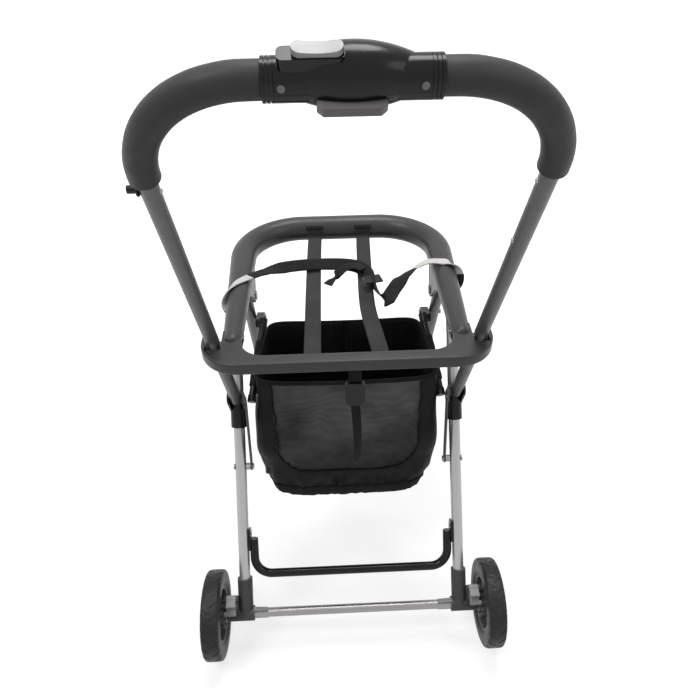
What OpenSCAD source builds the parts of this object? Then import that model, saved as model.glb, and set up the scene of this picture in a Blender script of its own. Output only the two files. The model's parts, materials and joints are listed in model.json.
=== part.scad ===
// Folding stroller frame that carries a car seat: rear legs, front legs, seat ring, push handle, basket.
// Millimetres, +Z up, +Y is the way it rolls, origin on the floor under the middle of the frame.
// Inside the modules Y is counted from the rear axle; placed() moves a piece to the origin.

/* [Wheels] */
// Diameter of the rear wheels
rear_wheel_d = 153; // [148:1:172]
// Width of the rear tyres
rear_tyre_w = 32; // [24:1:32]
// Half the distance between the rear wheels' middle planes
rear_wheel_x = 244; // [244:0.5:260]
// Diameter of the front wheels
front_wheel_d = 140; // [120:1:144]
// Width of the front tyres
front_tyre_w = 24; // [18:1:28]
// Distance from the swivel axis back to the front axle
caster_trail = 32; // [20:1:40]
// Diameter of the rear axle tube
axle_d = 16; // [13:0.5:17]

/* [Legs] */
// Distance of the leg pivot in front of the rear axle
apex_y = 283; // [265:1:300]
// Height of the leg pivot
apex_z = 566; // [550:1:580]
// Diameter of the leg tubes
leg_d = 19; // [17:0.5:19]
// Wall of the leg tubes
leg_wall = 1.4; // [1:0.1:2]
// Half width of the frame at the top of the rear legs
rear_leg_x = 181; // [181:0.5:184]
// How far each rear leg spreads outwards on its way to the axle
rear_splay = 10; // [4:1:12]
// Half width at the top of the front legs
front_leg_x = 161.5; // [161.5:0.1:162]
// How far each front leg spreads outwards on its way down
front_splay = 16; // [8:1:20]
// Forward lean of the front legs in degrees
front_lean = 29; // [26:0.5:31]
// Diameter of the pins at the leg pivot
apex_pin_d = 8; // [6:0.5:10]
// Diameter of the lower bar
lower_bar_d = 15; // [12:0.5:16]

/* [Seat ring] */
// Height of the middle of the ring
ring_z = 610; // [607:1:616]
// Distance of the front bar's middle in front of the rear axle
ring_front_y = 432; // [420:1:445]
// Distance of the rear bar's back face in front of the rear axle
ring_back_y = 34; // [28:1:38]
// Diameter of the side rails at the rear bar
rail_d = 28; // [26:0.5:28]
// Diameter of the front bar, and of the side rails where they meet it
front_bar_d = 42; // [36:1:44]
// Half distance between the rails' middles at the rear bar
rail_x = 160.5; // [160:0.1:160.5]
// Half distance between the rails' middles at the front bar
rail_front_x = 164.5; // [163:0.5:168]
// Depth of the rear bar, front to back
rear_bar_depth = 21; // [18:1:26]
// Height of the rear bar
rear_bar_h = 18; // [16:1:20]
// Half width of the rear bar outside
rear_bar_x = 202; // [202:1:206]
// Bend radius of the ring's front corners
ring_bend = 100; // [85:1:105]
// Width of the lengthwise straps
strap_w = 24; // [18:1:28]
// Half distance between the lengthwise straps
strap_x = 45; // [40:1:60]
// Width of the loose safety strap
safety_w = 22; // [16:1:26]

/* [Push handle] */
// Half distance between the push arms
arm_x = 184.5; // [184.5:0.1:185]
// Diameter of the push arm tube
arm_d = 19; // [16:0.5:19]
// Wall of the push arm tube
arm_wall = 1.4; // [1:0.1:2]
// Distance of the arm pivot in front of the rear axle
arm_pivot_y = 90.7; // [88:0.1:93]
// Backward lean of the push arms in degrees
arm_lean = 26.5; // [24:0.5:28]
// Length of the push arms from the pivot to the middle of the grip
arm_length = 455; // [445:1:470]
// Diameter of the foam grips
foam_d = 30; // [26:1:34]
// Length of the foam's straight stretch below the bend
foam_below = 2; // [2:1:30]
// Width of the housing in the middle of the grip
housing_w = 118; // [112:1:124]
// Greatest diameter of the housing
housing_d = 50; // [46:1:54]
// Diameter of the housing's ends
neck_d = 34; // [31:1:36]
// Wall of the housing
housing_wall = 3; // [2:0.5:4]
// Diameter of the peg for a cup tray
peg_d = 8; // [6:0.5:10]

/* [Basket] */
// Diameter of the basket rails
basket_rail_d = 13; // [11:0.5:14]
// Height of the basket's floor
basket_floor_z = 190; // [186:1:220]
// Half width of the basket where it is widest
basket_x = 160; // [145:1:161]
// Thickness of the basket's cloth with its lining
basket_wall = 3; // [2:0.5:4]

/* [Hidden] */
$fn = 48;
LEFT = -1;
RIGHT = 1;
BOTH = [LEFT, RIGHT];

// Radial clearance of pins, axles and sleeves
fit = 0.05;
// Clearance between pieces that pass each other
gap = 0.5;
// Clearance of cloth and webbing from what they lie on
soft_gap = 0.3;
// Seam between mouldings that meet end to end
seam = 0.2;
// Overlap that joins the shapes of one piece
bite = 1;

axle_z = rear_wheel_d / 2;
axle_r = axle_d / 2;
leg_r = leg_d / 2;
pin_r = apex_pin_d / 2;
rivet_r = 3;
rivet_head_r = 5;
rivet_head_h = 2;

// Rear leg line from the axle up to the pivot, front leg line from the pivot down
leg_slope = apex_y / (apex_z - axle_z);
leg_lean = atan(leg_slope);
caster_rise = 44;
caster_top_z = front_wheel_d + caster_rise;
function rear_leg_at(z) = [
    rear_leg_x + rear_splay * (apex_z - z) / (apex_z - axle_z), leg_slope * (z - axle_z), z];
function front_leg_at(z) = [
    front_leg_x + front_splay * (apex_z - z) / apex_z, apex_y + tan(front_lean) * (apex_z - z), z];
leg_over = 12;
leg_foot = rear_leg_at(axle_z + 19);
leg_top = rear_leg_at(apex_z + leg_over * cos(leg_lean));
front_top = front_leg_at(apex_z + leg_over * cos(front_lean));
front_foot = front_leg_at(caster_top_z - 18);

// Push arm line, from its pivot in the seat ring up to the grip and down to the rear leg
arm_r = arm_d / 2;
arm_pivot_z = ring_z - 4;
arm_dir = [0, -sin(arm_lean), cos(arm_lean)];
arm_pivot = [arm_x, arm_pivot_y, arm_pivot_z];
function arm_at(s) = arm_pivot + s * arm_dir;
// Where the arm line meets the line of the rear leg, in the side view
meet_s = -(arm_pivot_y - leg_slope * (arm_pivot_z - axle_z))
    / (arm_dir.y - leg_slope * arm_dir.z);
meet = arm_at(meet_s);

// Seat ring
rail_r = rail_d / 2;
front_r = front_bar_d / 2;
rear_bar_z = ring_z - 9;
rear_bar_front = arm_pivot_y + 21;
rail_joint_y = ring_front_y - ring_bend - 5;
// Middle and radius of a side rail, which grows towards the front bar
function rail_share(y) = (y - rear_bar_front) / (rail_joint_y - rear_bar_front);
function rail_at(y) = [rail_x + (rail_front_x - rail_x) * rail_share(y), y, ring_z];
function rail_r_at(y) = rail_r + (front_r - rail_r) * rail_share(y);
ear_w = 6;
ear_back = 60;
ear_front = 30;
ear_x = front_leg_x - leg_r - gap - ear_w;
slot_half = arm_r + 1.25;
fork_w = 2.5;
ring_pin_r = 3;
webbing = 1.8;

// Basket rails, from the front cap to the rear end, and their pivots on the legs
rail_front_half = 139;
rail_front_ahead = 12;
rail_front_drop = 60;
rail_back_half = 158;
rail_back_behind = 109;
rail_back_drop = 138;
rail_a = [rail_front_half, apex_y + rail_front_ahead, apex_z - rail_front_drop];
rail_b = [rail_back_half, apex_y - rail_back_behind, apex_z - rail_back_drop];
basket_r = basket_rail_d / 2;
clip_drop = 71;
clip = front_leg_at(apex_z - clip_drop);
clip_x = [rail_a.x, clip.x - leg_r - 2];
link_rise = 235;
link_low = rear_leg_at(axle_z + link_rise);
link_back = 9;
link_drop = 3;
link_high = [0, rail_b.y - link_back, rail_b.z - link_drop];
link_x = rail_b.x + basket_r + 1.5;
link_w = 2.5;

// Casters
caster_y = front_foot.y + 20;
caster_x = front_foot.x;
front_axle_z = front_wheel_d / 2;
front_axle_y = caster_y - caster_trail;
fork_gap = front_tyre_w / 2 + 3;
blade = 4;
crown_z = front_wheel_d + 4;
crown_h = 4;
stem_r = 5;
front_axle_r = 4;

// Wheels
hub_share = 0.65;
rear_hub_r = hub_share * rear_wheel_d / 2;
front_hub_r = hub_share * front_wheel_d / 2;
wheel_in = rear_wheel_x - rear_tyre_w / 2;
wheel_out = rear_wheel_x + rear_tyre_w / 2;
hub_step = 2;
cap_w = 4;

// Leg sockets and brakes
leg_axle_x = rear_leg_x + rear_splay;
socket_r = 15;
socket_wall = 3.5;
socket_floor = 4;
socket_sleeve = 58;
socket_in = leg_axle_x - socket_r;
socket_out = wheel_in - 6;
brake_y = 4;
brake_z = axle_z + 40;
brake_ear = 3;
brake_in = leg_axle_x + leg_r + 4;
brake_out = brake_in + 17;
pad_l = 18;

// Handle housing, in the arm's own frame with the grip's tube in its middle
collar_w = 9.5;
collar_r = foam_d / 2 + 2;
foam_x = housing_w / 2 + collar_w + 0.6;
foam_level = 11.5;
handle_bend = arm_x - foam_x - foam_level;
foam_from = arm_length - handle_bend - foam_below;
neck_r = neck_d / 2;
neck_l = 9;
// The swell between the necks lies a little ahead of the tube
swell_ahead = 3;
swell_half = housing_w / 2 - neck_l;
swell_back = swell_ahead - housing_d / 2;
function swell_r_at(x) = housing_d / 2 - (housing_d / 2 - neck_r + swell_ahead) * pow(x / swell_half, 2);
// Raised flat under the thumb, with the button on it
pad_in = 3;
pad_w = 50;
pad_d = 15;
pad_y = -2;
pad_top = housing_d / 2 + 0.2;
button_in = 33;
button_x = button_in - housing_w / 2;
button_w = 38;
button_d = 13;
button_h = 6;
button_travel = 8;
stem_inset = 8;
stem_w = button_w - 2 * stem_inset;
stem_d = 8;
stem_low = arm_r + 3.5;
trigger_x = -1;
trigger_w = 54;
trigger_h = 9;
trigger_out = 6;
trigger_below = 3;
trigger_travel = 6;

// Middle of the whole frame, front to back
back_y = arm_at(arm_length).y + (swell_back - trigger_out) * cos(arm_lean)
    + trigger_below * sin(arm_lean);
front_y = max(front_axle_y + front_wheel_d / 2, caster_y + socket_r);
mid_y = (back_y + front_y) / 2;

// Helpers

module placed(side = RIGHT) {
    translate([0, -mid_y, 0])
        mirror([side < 0 ? 1 : 0, 0, 0])
            children();
}

function past(p, q, d) = q + d * (q - p) / norm(q - p);

module along(p, q) {
    d = q - p;
    translate(p)
        rotate([0, acos(d.z / norm(d)), atan2(d.y, d.x)])
            children();
}

module rod(p, q, r) {
    along(p, q)
        cylinder(r = r, h = norm(q - p));
}

module hollow_rod(p, q, r, bore_r) {
    difference() {
        rod(p, q, r);
        rod(past(q, p, bite), past(p, q, bite), bore_r);
    }
}

// Round bar across the frame
module x_rod(x0, x1, y, z, r) {
    translate([x0, y, z])
        rotate([0, 90, 0])
            cylinder(r = r, h = x1 - x0);
}

// Outline drawn as [y, z] and given a thickness across the frame
module x_plate(x0, x1) {
    translate([x0, 0, 0])
        rotate([90, 0, 90])
            linear_extrude(x1 - x0)
                children();
}

module box(low, high) {
    translate(low)
        cube(high - low);
}

// Flat link outline between two points of the side view; its sides are a little closer than the round ends
module link_2d(p, q, r) {
    translate(p)
        circle(r);
    translate(q)
        circle(r);
    d = q - p;
    translate(p)
        rotate(atan2(d.y, d.x))
            translate([0, -0.97 * r])
                square([norm(d), 2 * 0.97 * r]);
}

// Rectangle with round corners, centred
module round_rect(w, h, r) {
    square([w - 2 * r, h], center = true);
    square([w, h - 2 * r], center = true);
    for (x = [-1, 1], y = [-1, 1])
        translate([x * (w / 2 - r), y * (h / 2 - r)])
            circle(r);
}

// Quarter bend that turns from +X towards +Z about its own centre
module bend(radius, r) {
    rotate([90, 0, 0])
        rotate_extrude(angle = 90)
            translate([radius, 0])
                circle(r);
}

// One side of a U-shaped tube: up from low, round the bend and in to inner_x at the top
module u_half(side_x, low, top, radius, inner_x, r) {
    translate([side_x, 0, low])
        cylinder(r = r, h = top - radius - low);
    translate([side_x - radius, 0, top - radius])
        bend(radius, r);
    x_rod(inner_x, side_x - radius, 0, top, r);
}

// Frame of the push arms: origin between the two pivots, Z up along the arms
module arm_frame() {
    translate([0, arm_pivot.y, arm_pivot.z])
        rotate([arm_lean, 0, 0])
            children();
}

// Frame of the rear legs: origin on the axle, Z up along the legs
module leg_frame() {
    translate([0, 0, axle_z])
        rotate([-leg_lean, 0, 0])
            children();
}

// Rear frame

module rear_leg(side) {
    color("silver")
        placed(side)
            difference() {
                hollow_rod(leg_foot, leg_top, leg_r, leg_r - leg_wall);
                x_rod(0, rear_leg_x + leg_d, apex_y, apex_z, pin_r + fit);
                x_rod(0, link_low.x + leg_d, link_low.y, link_low.z, rivet_r + fit);
            }
}

module axle_socket(side) {
    sleeve_top = rear_leg_at(axle_z + socket_sleeve);
    foot_line = rear_leg_at(axle_z);
    color("dimgray")
        placed(side)
            difference() {
                union() {
                    rod(foot_line, sleeve_top, leg_r + socket_wall);
                    x_rod(socket_in, socket_out, 0, axle_z, socket_r - 2);
                    // Ears of the brake pedal
                    for (x = [brake_in - brake_ear, brake_out])
                        hull() {
                            x_rod(x, x + brake_ear, 0, axle_z, socket_r - 5, $fn = 32);
                            x_rod(x, x + brake_ear, brake_y, brake_z, 6, $fn = 32);
                        }
                    // Gusset towards the middle of the axle
                    translate([0, 4, 0])
                        rotate([90, 0, 0])
                            linear_extrude(8)
                                polygon([
                                    [socket_in - 24, axle_z - axle_r - 3],
                                    [socket_in + bite, axle_z - axle_r - 3],
                                    [socket_in + bite, axle_z + 13],
                                    [socket_in - 24, axle_z + axle_r + 3]]);
                }
                rod(leg_foot, past(leg_foot, sleeve_top, bite), leg_r + fit);
                x_rod(socket_in - 30, brake_out + 2 * brake_ear, 0, axle_z, axle_r + fit);
                x_rod(brake_in - 2 * brake_ear, brake_out + 2 * brake_ear, brake_y, brake_z, rivet_r + fit);
                // Room for the pedal between its ears
                box([brake_in, brake_y - 12, brake_z - 9], [brake_out, brake_y + 10, brake_z + 12]);
            }
}

module rear_axle() {
    color("lightgray")
        placed()
            x_rod(-wheel_out - 2, wheel_out + 2, 0, axle_z, axle_r);
}

module axle_caps() {
    color("dimgray")
        for (side = BOTH)
            placed(side)
                difference() {
                    x_rod(wheel_out + gap, wheel_out + gap + cap_w, 0, axle_z, axle_r + 7);
                    x_rod(wheel_out, wheel_out + 2 + fit, 0, axle_z, axle_r + fit);
                }
}

// Lower bar, bent in the plane of the rear legs
lower_bend = 30;
lower_w = 74;
lower_end_w = 140;
lower_end_x = leg_axle_x - rear_splay * lower_end_w * cos(leg_lean) / (apex_z - axle_z) - leg_r
    - lower_bar_d / 2 - 1;
tab_w = 3;
tab_x = lower_end_x + lower_bar_d / 2 + 0.7 - tab_w;
tab_from = lower_end_w - 20;

module lower_bar() {
    color("black")
        placed()
            leg_frame()
                for (side = BOTH)
                    mirror([side < 0 ? 1 : 0, 0, 0]) {
                        mirror([0, 0, 1])
                            u_half(lower_end_x, -lower_end_w, -lower_w, lower_bend, 0, lower_bar_d / 2);
                        // Flattened end, flat against the leg
                        box([tab_x, -8, tab_from], [tab_x + tab_w, 8, lower_end_w + 18]);
                    }
}

module lower_bar_rivets() {
    color("silver")
        placed()
            leg_frame()
                for (side = BOTH, w = [lower_end_w + 5, lower_end_w + 13])
                    mirror([side < 0 ? 1 : 0, 0, 0])
                        x_rod(tab_x - rivet_head_h, tab_x, 0, w, 3.6);
}

// Saddle on the rear leg: the end of the arm strut drops in between its cheeks
bracket_l = 50;
bracket_r = leg_r + 4;
cheek = 3;
strut_end_s = meet_s + (bracket_r + gap + arm_r * cos(arm_lean + leg_lean)) / sin(arm_lean + leg_lean);

module hinge_bracket(side) {
    centre = rear_leg_at(meet.z);
    unit = (rear_leg_at(meet.z + 1) - centre) / norm(rear_leg_at(meet.z + 1) - centre);
    low = centre - unit * bracket_l * 0.76;
    high = centre + unit * bracket_l * 0.24;
    seat = arm_at(strut_end_s + 10);
    color("black")
        placed(side)
            difference() {
                union() {
                    rod(low, high, bracket_r);
                    for (x = [arm_x - arm_r - gap - cheek, arm_x + arm_r + gap])
                        x_plate(x, x + cheek)
                            link_2d([seat.y, seat.z], [centre.y, centre.z], arm_r + 2);
                }
                rod(past(high, low, bite), past(low, high, bite), leg_r + 2 * fit);
            }
}

module leg_pivot_pins() {
    head_in = ear_x - gap - 2;
    head_out = rear_leg_x + leg_r + soft_gap;
    color("silver")
        for (side = BOTH)
            placed(side) {
                x_rod(head_in, head_out + 2, apex_y, apex_z, pin_r);
                x_rod(head_in, head_in + 2, apex_y, apex_z, pin_r + 3);
                x_rod(head_out, head_out + 2, apex_y, apex_z, pin_r + 3);
            }
}

module link_pivots() {
    spacer_in = link_x + link_w + gap;
    head_in = link_x - gap - rivet_head_h;
    head_out = link_low.x + leg_r + soft_gap;
    color("silver")
        for (side = BOTH)
            placed(side) {
                x_rod(head_in, head_out + rivet_head_h, link_low.y, link_low.z, rivet_r);
                x_rod(head_in, head_in + rivet_head_h, link_low.y, link_low.z, rivet_head_r);
                x_rod(head_out, head_out + rivet_head_h, link_low.y, link_low.z, rivet_head_r);
                x_rod(spacer_in, link_low.x - leg_r - soft_gap, link_low.y, link_low.z, rivet_head_r + 1);
            }
}

// Brakes

module brake_pedal(side) {
    tooth = [brake_y - 20, brake_z - 14];
    color("gainsboro")
        placed(side) {
            x_rod(brake_in + gap, brake_out - gap, brake_y, brake_z, 6.5);
            box([brake_in + gap, brake_y - pad_l, brake_z - 1],
                [brake_out - gap, brake_y, brake_z + 5]);
            x_plate(brake_in + gap, brake_out - gap)
                link_2d([brake_y, brake_z], tooth, 4);
            x_rod(brake_in + gap, wheel_in - hub_step - 2 * gap, tooth.x, tooth.y, 4);
            // Pin that turns in the ears
            x_rod(brake_in - brake_ear, brake_out + brake_ear, brake_y, brake_z, rivet_r);
        }
}

// Wheels

module tyre(x, y, z, r, hub_r, w, tint) {
    shoulder = 7;
    color(tint)
        placed(x < 0 ? LEFT : RIGHT)
            translate([abs(x), y, z])
                rotate([0, 90, 0])
                    rotate_extrude()
                        difference() {
                            translate([(r + hub_r) / 2, 0])
                                round_rect(r - hub_r, w, shoulder);
                            translate([hub_r - bite, -w])
                                square([bite + fit, 2 * w]);
                        }
}

module rear_tyre(side) {
    tyre(side * rear_wheel_x, 0, axle_z, rear_wheel_d / 2, rear_hub_r, rear_tyre_w, "black");
}

module front_tyre(side) {
    tyre(side * caster_x, front_axle_y, front_axle_z, front_wheel_d / 2, front_hub_r,
        front_tyre_w, "black");
}

// Hub turned about X: bore, boss, web with round windows, rim, and a step on the inner side
module hub(bore_r, boss_r, rim_r, half_w, boss_in, windows) {
    web = 6;
    rim = 6;
    rotate([0, 90, 0])
        difference() {
            rotate_extrude() {
                translate([bore_r, -boss_in])
                    square([boss_r - bore_r, boss_in + half_w]);
                translate([bore_r, -web / 2])
                    square([rim_r - bore_r, web]);
                translate([rim_r - rim, -half_w + 4])
                    square([rim, 2 * half_w - 8]);
            }
            for (i = [0:windows - 1])
                rotate(i * 360 / windows)
                    translate([(boss_r + rim_r - rim) / 2, 0, -web])
                        cylinder(r = (rim_r - rim - boss_r) / 2 - 4, h = 2 * web);
        }
}

module rear_hub(side) {
    teeth = 12;
    drum_r = 19;
    color("gray")
        placed(side)
            translate([rear_wheel_x, 0, axle_z]) {
                hub(axle_r + fit, 15, rear_hub_r, rear_tyre_w / 2, rear_tyre_w / 2 + hub_step, 6);
                // Ring of teeth that the brake works against
                for (i = [0:teeth - 1])
                    rotate([i * 360 / teeth, 0, 0])
                        box([-rear_tyre_w / 2 - hub_step + 0.5, -3, drum_r + 1], [-3 + bite, 3, drum_r + 6]);
                rotate([0, 90, 0])
                    difference() {
                        translate([0, 0, -rear_tyre_w / 2])
                            cylinder(r = drum_r + 3, h = rear_tyre_w / 2 - 3 + bite);
                        translate([0, 0, -rear_tyre_w])
                            cylinder(r = drum_r, h = 2 * rear_tyre_w);
                    }
            }
}

module front_hub(side) {
    color("gray")
        placed(side)
            translate([caster_x, front_axle_y, front_axle_z])
                hub(front_axle_r + fit, 12, front_hub_r, front_tyre_w / 2, front_tyre_w / 2 + 2, 5);
}

// Front legs and casters

module front_leg(side) {
    color("gray")
        placed(side)
            difference() {
                hollow_rod(front_foot, front_top, leg_r, leg_r - leg_wall);
                x_rod(0, front_leg_x + leg_d, apex_y, apex_z, pin_r + fit);
                x_rod(0, clip.x + leg_d, clip.y, clip.z, rivet_r + fit);
            }
}

module front_cross_bar() {
    rise = 22;
    at = front_leg_at(caster_top_z + rise);
    color("gray")
        placed()
            difference() {
                x_rod(-at.x, at.x, at.y, at.z, 8);
                for (side = BOTH)
                    mirror([side < 0 ? 1 : 0, 0, 0])
                        rod(front_foot, front_top, leg_r + fit);
            }
}

// Screws that the basket rails turn on
module basket_pivots() {
    head_in = clip_x[0] - gap - rivet_head_h;
    head_out = clip.x + leg_r + soft_gap;
    color("silver")
        for (side = BOTH)
            placed(side) {
                x_rod(head_in, head_out + rivet_head_h, clip.y, clip.z, rivet_r);
                x_rod(head_in, head_in + rivet_head_h, clip.y, clip.z, rivet_head_r);
                x_rod(head_out, head_out + rivet_head_h, clip.y, clip.z, rivet_head_r);
            }
}

module caster_socket(side) {
    sleeve_top = front_leg_at(caster_top_z + 12);
    low_z = crown_z + crown_h + gap;
    color("dimgray")
        placed(side)
            difference() {
                union() {
                    translate([caster_x, caster_y, low_z])
                        cylinder(r = socket_r, h = caster_top_z - low_z);
                    rod(past(sleeve_top, front_foot, socket_floor), sleeve_top, leg_r + socket_wall);
                }
                rod(front_foot, past(front_foot, sleeve_top, bite), leg_r + fit);
                translate([caster_x, caster_y, low_z - bite])
                    cylinder(r = stem_r + fit, h = caster_top_z - low_z - 4 + bite);
            }
}

module caster_fork(side) {
    half = fork_gap + blade;
    color("dimgray")
        placed(side)
            difference() {
                union() {
                    translate([caster_x, caster_y, crown_z])
                        cylinder(r = stem_r, h = caster_top_z - crown_z - 5);
                    translate([caster_x, caster_y, crown_z])
                        cylinder(r = half, h = crown_h);
                    box([caster_x - half, front_axle_y, crown_z],
                        [caster_x + half, caster_y, crown_z + crown_h]);
                    for (x = [caster_x - half, caster_x + fork_gap])
                        x_plate(x, x + blade)
                            hull() {
                                translate([front_axle_y, front_axle_z])
                                    circle(12, $fn = 32);
                                translate([front_axle_y - 2, crown_z])
                                    square([caster_trail + 2, crown_h]);
                            }
                }
                x_rod(caster_x - half - bite, caster_x + half + bite, front_axle_y, front_axle_z,
                    front_axle_r + fit);
            }
}

module front_axle(side) {
    half = fork_gap + blade + soft_gap;
    color("silver")
        placed(side) {
            x_rod(caster_x - half - 2, caster_x + half + 2, front_axle_y, front_axle_z, front_axle_r);
            for (x = [caster_x - half - 2, caster_x + half])
                x_rod(x, x + 2, front_axle_y, front_axle_z, front_axle_r + 3);
        }
}

// Seat ring

module ring_front_bar() {
    color("dimgray")
        placed()
            translate([0, 0, ring_z]) {
                x_rod(-rail_front_x + ring_bend, rail_front_x - ring_bend, ring_front_y, 0, front_r);
                for (side = BOTH)
                    mirror([side < 0 ? 1 : 0, 0, 0]) {
                        translate([rail_front_x - ring_bend, ring_front_y - ring_bend, 0])
                            rotate_extrude(angle = 90)
                                translate([ring_bend, 0])
                                    circle(front_r);
                        rod([rail_front_x, rail_joint_y, 0],
                            [rail_front_x, ring_front_y - ring_bend, 0], front_r);
                    }
            }
}

// Side rail with the ear that hangs on the leg pivot
module ring_rail(side) {
    from = rear_bar_front - 10;
    to = rail_joint_y + 10;
    length = norm(rail_at(to) - rail_at(from));
    color("dimgray")
        placed(side) {
            intersection() {
                along(rail_at(from), rail_at(to))
                    cylinder(r1 = rail_r_at(from), r2 = rail_r_at(to), h = length);
                box([0, rear_bar_front + seam, 0], [2 * rail_x, rail_joint_y - seam, 2 * ring_z]);
            }
            // Foot of the ear under the rail
            box([ear_x, apex_y - ear_back, ring_z - 12],
                [rail_at(apex_y).x, apex_y + ear_front, ring_z - 2]);
            x_plate(ear_x, ear_x + ear_w)
                difference() {
                    union() {
                        translate([apex_y, apex_z])
                            circle(pin_r + 8);
                        polygon([
                            [apex_y - ear_back, ring_z - 2], [apex_y + ear_front, ring_z - 2],
                            [apex_y + 11, apex_z - 4], [apex_y - 11, apex_z - 4]]);
                    }
                    translate([apex_y, apex_z])
                        circle(pin_r + fit);
                }
        }
}

// Rear bar: a flat bow with a forked pocket for each push arm
module ring_rear_bar() {
    corner = 55;
    inner_corner = 34;
    trough = 22;
    inner = rail_x - rail_r;
    inner_y = ring_back_y + rear_bar_depth;
    color("dimgray")
        placed()
            difference() {
                translate([0, 0, rear_bar_z])
                    linear_extrude(rear_bar_h)
                        difference() {
                            intersection() {
                                translate([0, ring_back_y + rear_bar_x])
                                    round_rect(2 * rear_bar_x, 2 * rear_bar_x, corner);
                                translate([-rear_bar_x, ring_back_y])
                                    square([2 * rear_bar_x, rear_bar_front - ring_back_y]);
                            }
                            translate([0, inner_y + inner])
                                round_rect(2 * inner, 2 * inner, inner_corner);
                            for (x = [-1, 1])
                                translate([x * arm_x - slot_half, arm_pivot_y - trough])
                                    square([2 * slot_half, rear_bar_front]);
                        }
                for (side = BOTH)
                    mirror([side < 0 ? 1 : 0, 0, 0])
                        x_rod(rail_x, rear_bar_x + bite, arm_pivot_y, arm_pivot_z, ring_pin_r + fit);
            }
}

module ring_screws() {
    color("silver")
        for (side = BOTH)
            placed(side)
                x_rod(rail_x - rail_r - 1.6, rail_x - rail_r, rear_bar_front - 9, ring_z, 3.6);
}

module arm_pivot_pins() {
    color("silver")
        for (side = BOTH)
            placed(side)
                x_rod(rail_x + 1, rear_bar_x - 0.5, arm_pivot_y, arm_pivot_z, ring_pin_r);
}

// Lower stretch of the push arm, forked round the pivot
module arm_strut(side) {
    fork_x = slot_half - 0.15;
    color("slategray")
        placed(side)
            union() {
                difference() {
                    hollow_rod(arm_at(-20), arm_at(strut_end_s), arm_r, arm_r - arm_wall);
                    rod(arm_at(0), arm_at(-34), 5);
                }
                for (x = [arm_x - fork_x, arm_x + fork_x - fork_w])
                    x_plate(x, x + fork_w)
                        difference() {
                            link_2d([arm_pivot.y, arm_pivot.z], [arm_at(-44).y, arm_at(-44).z], arm_r - 1);
                            translate([arm_pivot.y, arm_pivot.z])
                                circle(ring_pin_r + fit);
                        }
            }
}

// Strap along the ring, from the front bar's inner face back under the rear bar
module ring_strap(side) {
    front_z = ring_z - 6;
    front_y = ring_front_y - front_r * cos(asin(6 / front_r)) - soft_gap;
    back_z = rear_bar_z - soft_gap;
    color("darkslategray")
        placed(side)
            x_plate(strap_x - strap_w / 2, strap_x + strap_w / 2)
                polygon([
                    [ring_back_y + 6, back_z - webbing], [front_y, front_z - webbing],
                    [front_y, front_z], [ring_back_y + 6, back_z]]);
}

// Route of the safety strap in the front view: round the left rail, across, round the right rail
safety_y = apex_y - 20;
wrap_r = rail_r_at(safety_y + safety_w / 2) + 3 * soft_gap + webbing / 2;
safety_x = rail_at(safety_y).x;
function wrap(a) = [safety_x + wrap_r * cos(a), ring_z + wrap_r * sin(a)];
// Loose stretch across the ring: distance in from the rail, height above the ring's middle
slack = [[26, 9], [60, 1], [110, -3]];
half_route = concat(
    [for (a = [-100:20:120]) wrap(a)],
    [for (p = slack) [safety_x - p.x, ring_z + p.y]]);
safety_route = concat(
    [for (p = half_route) [-p.x, p.y]],
    [for (i = [len(half_route) - 1:-1:0]) half_route[i]]);
function normal_at(i) =
    let (n = len(safety_route),
        a = safety_route[max(i - 1, 0)],
        b = safety_route[min(i + 1, n - 1)],
        d = (b - a) / norm(b - a))
    [-d.y, d.x];

module safety_strap() {
    n = len(safety_route);
    ring_of = [for (i = [0:n - 1], c = [[-1, -1], [1, -1], [1, 1], [-1, 1]])
        let (p = safety_route[i] + c.y * webbing / 2 * normal_at(i))
        [p.x, safety_y + c.x * safety_w / 2, p.y]];
    sides = [for (i = [0:n - 2], k = [0:3])
        let (a = 4 * i + k, b = 4 * i + (k + 1) % 4)
        each [[a, b + 4, b], [a, a + 4, b + 4]]];
    last = 4 * (n - 1);
    ends = [[0, 1, 2], [0, 2, 3], [last, last + 2, last + 1], [last, last + 3, last + 2]];
    color("black")
        placed()
            polyhedron(ring_of, concat(sides, ends));
}

// Buckle that hangs from the middle of the rear bar
buckle_x = 8;
buckle_gap = 0.95;
buckle_y = ring_back_y + rear_bar_depth / 2;
buckle_top = rear_bar_z - buckle_gap;
buckle_drop = 26;
buckle_w = 28;
buckle_h = 40;
buckle_d = 10;
tail_in = 4;
tail_l = 124;
buckle_z = buckle_top - buckle_drop;
tail_z = buckle_z - buckle_h + tail_in;

module buckle_strap() {
    color("black")
        placed() {
            box([buckle_x - 9, buckle_y - 1, buckle_z - 2], [buckle_x + 9, buckle_y + 1, buckle_top]);
            box([buckle_x - 7, buckle_y - 1, tail_z - tail_l], [buckle_x + 7, buckle_y + 1, tail_z]);
        }
}

module buckle() {
    color("black")
        placed()
            difference() {
                translate([buckle_x, buckle_y + buckle_d / 2, buckle_z - buckle_h / 2])
                    rotate([90, 0, 0])
                        linear_extrude(buckle_d)
                            round_rect(buckle_w, buckle_h, 8);
                box([buckle_x - 9.5, buckle_y - 1 - soft_gap, buckle_z - 2 - soft_gap],
                    [buckle_x + 9.5, buckle_y + 1 + soft_gap, buckle_z + 2]);
                box([buckle_x - 7.5, buckle_y - 1 - soft_gap, buckle_z - buckle_h - bite],
                    [buckle_x + 7.5, buckle_y + 1 + soft_gap, tail_z + soft_gap]);
            }
}

// Push handle

// One side of the handle's line, from height low on the arm in to inner_x
module handle_half(low, inner_x, r) {
    u_half(arm_x, low, arm_length, handle_bend, inner_x, r);
}

module handle_tube() {
    color("slategray")
        placed()
            arm_frame()
                for (side = BOTH)
                    mirror([side < 0 ? 1 : 0, 0, 0])
                        difference() {
                            handle_half(arm_r + 8, 0, arm_r);
                            handle_half(arm_r + 7, -bite, arm_r - arm_wall);
                        }
}

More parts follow.
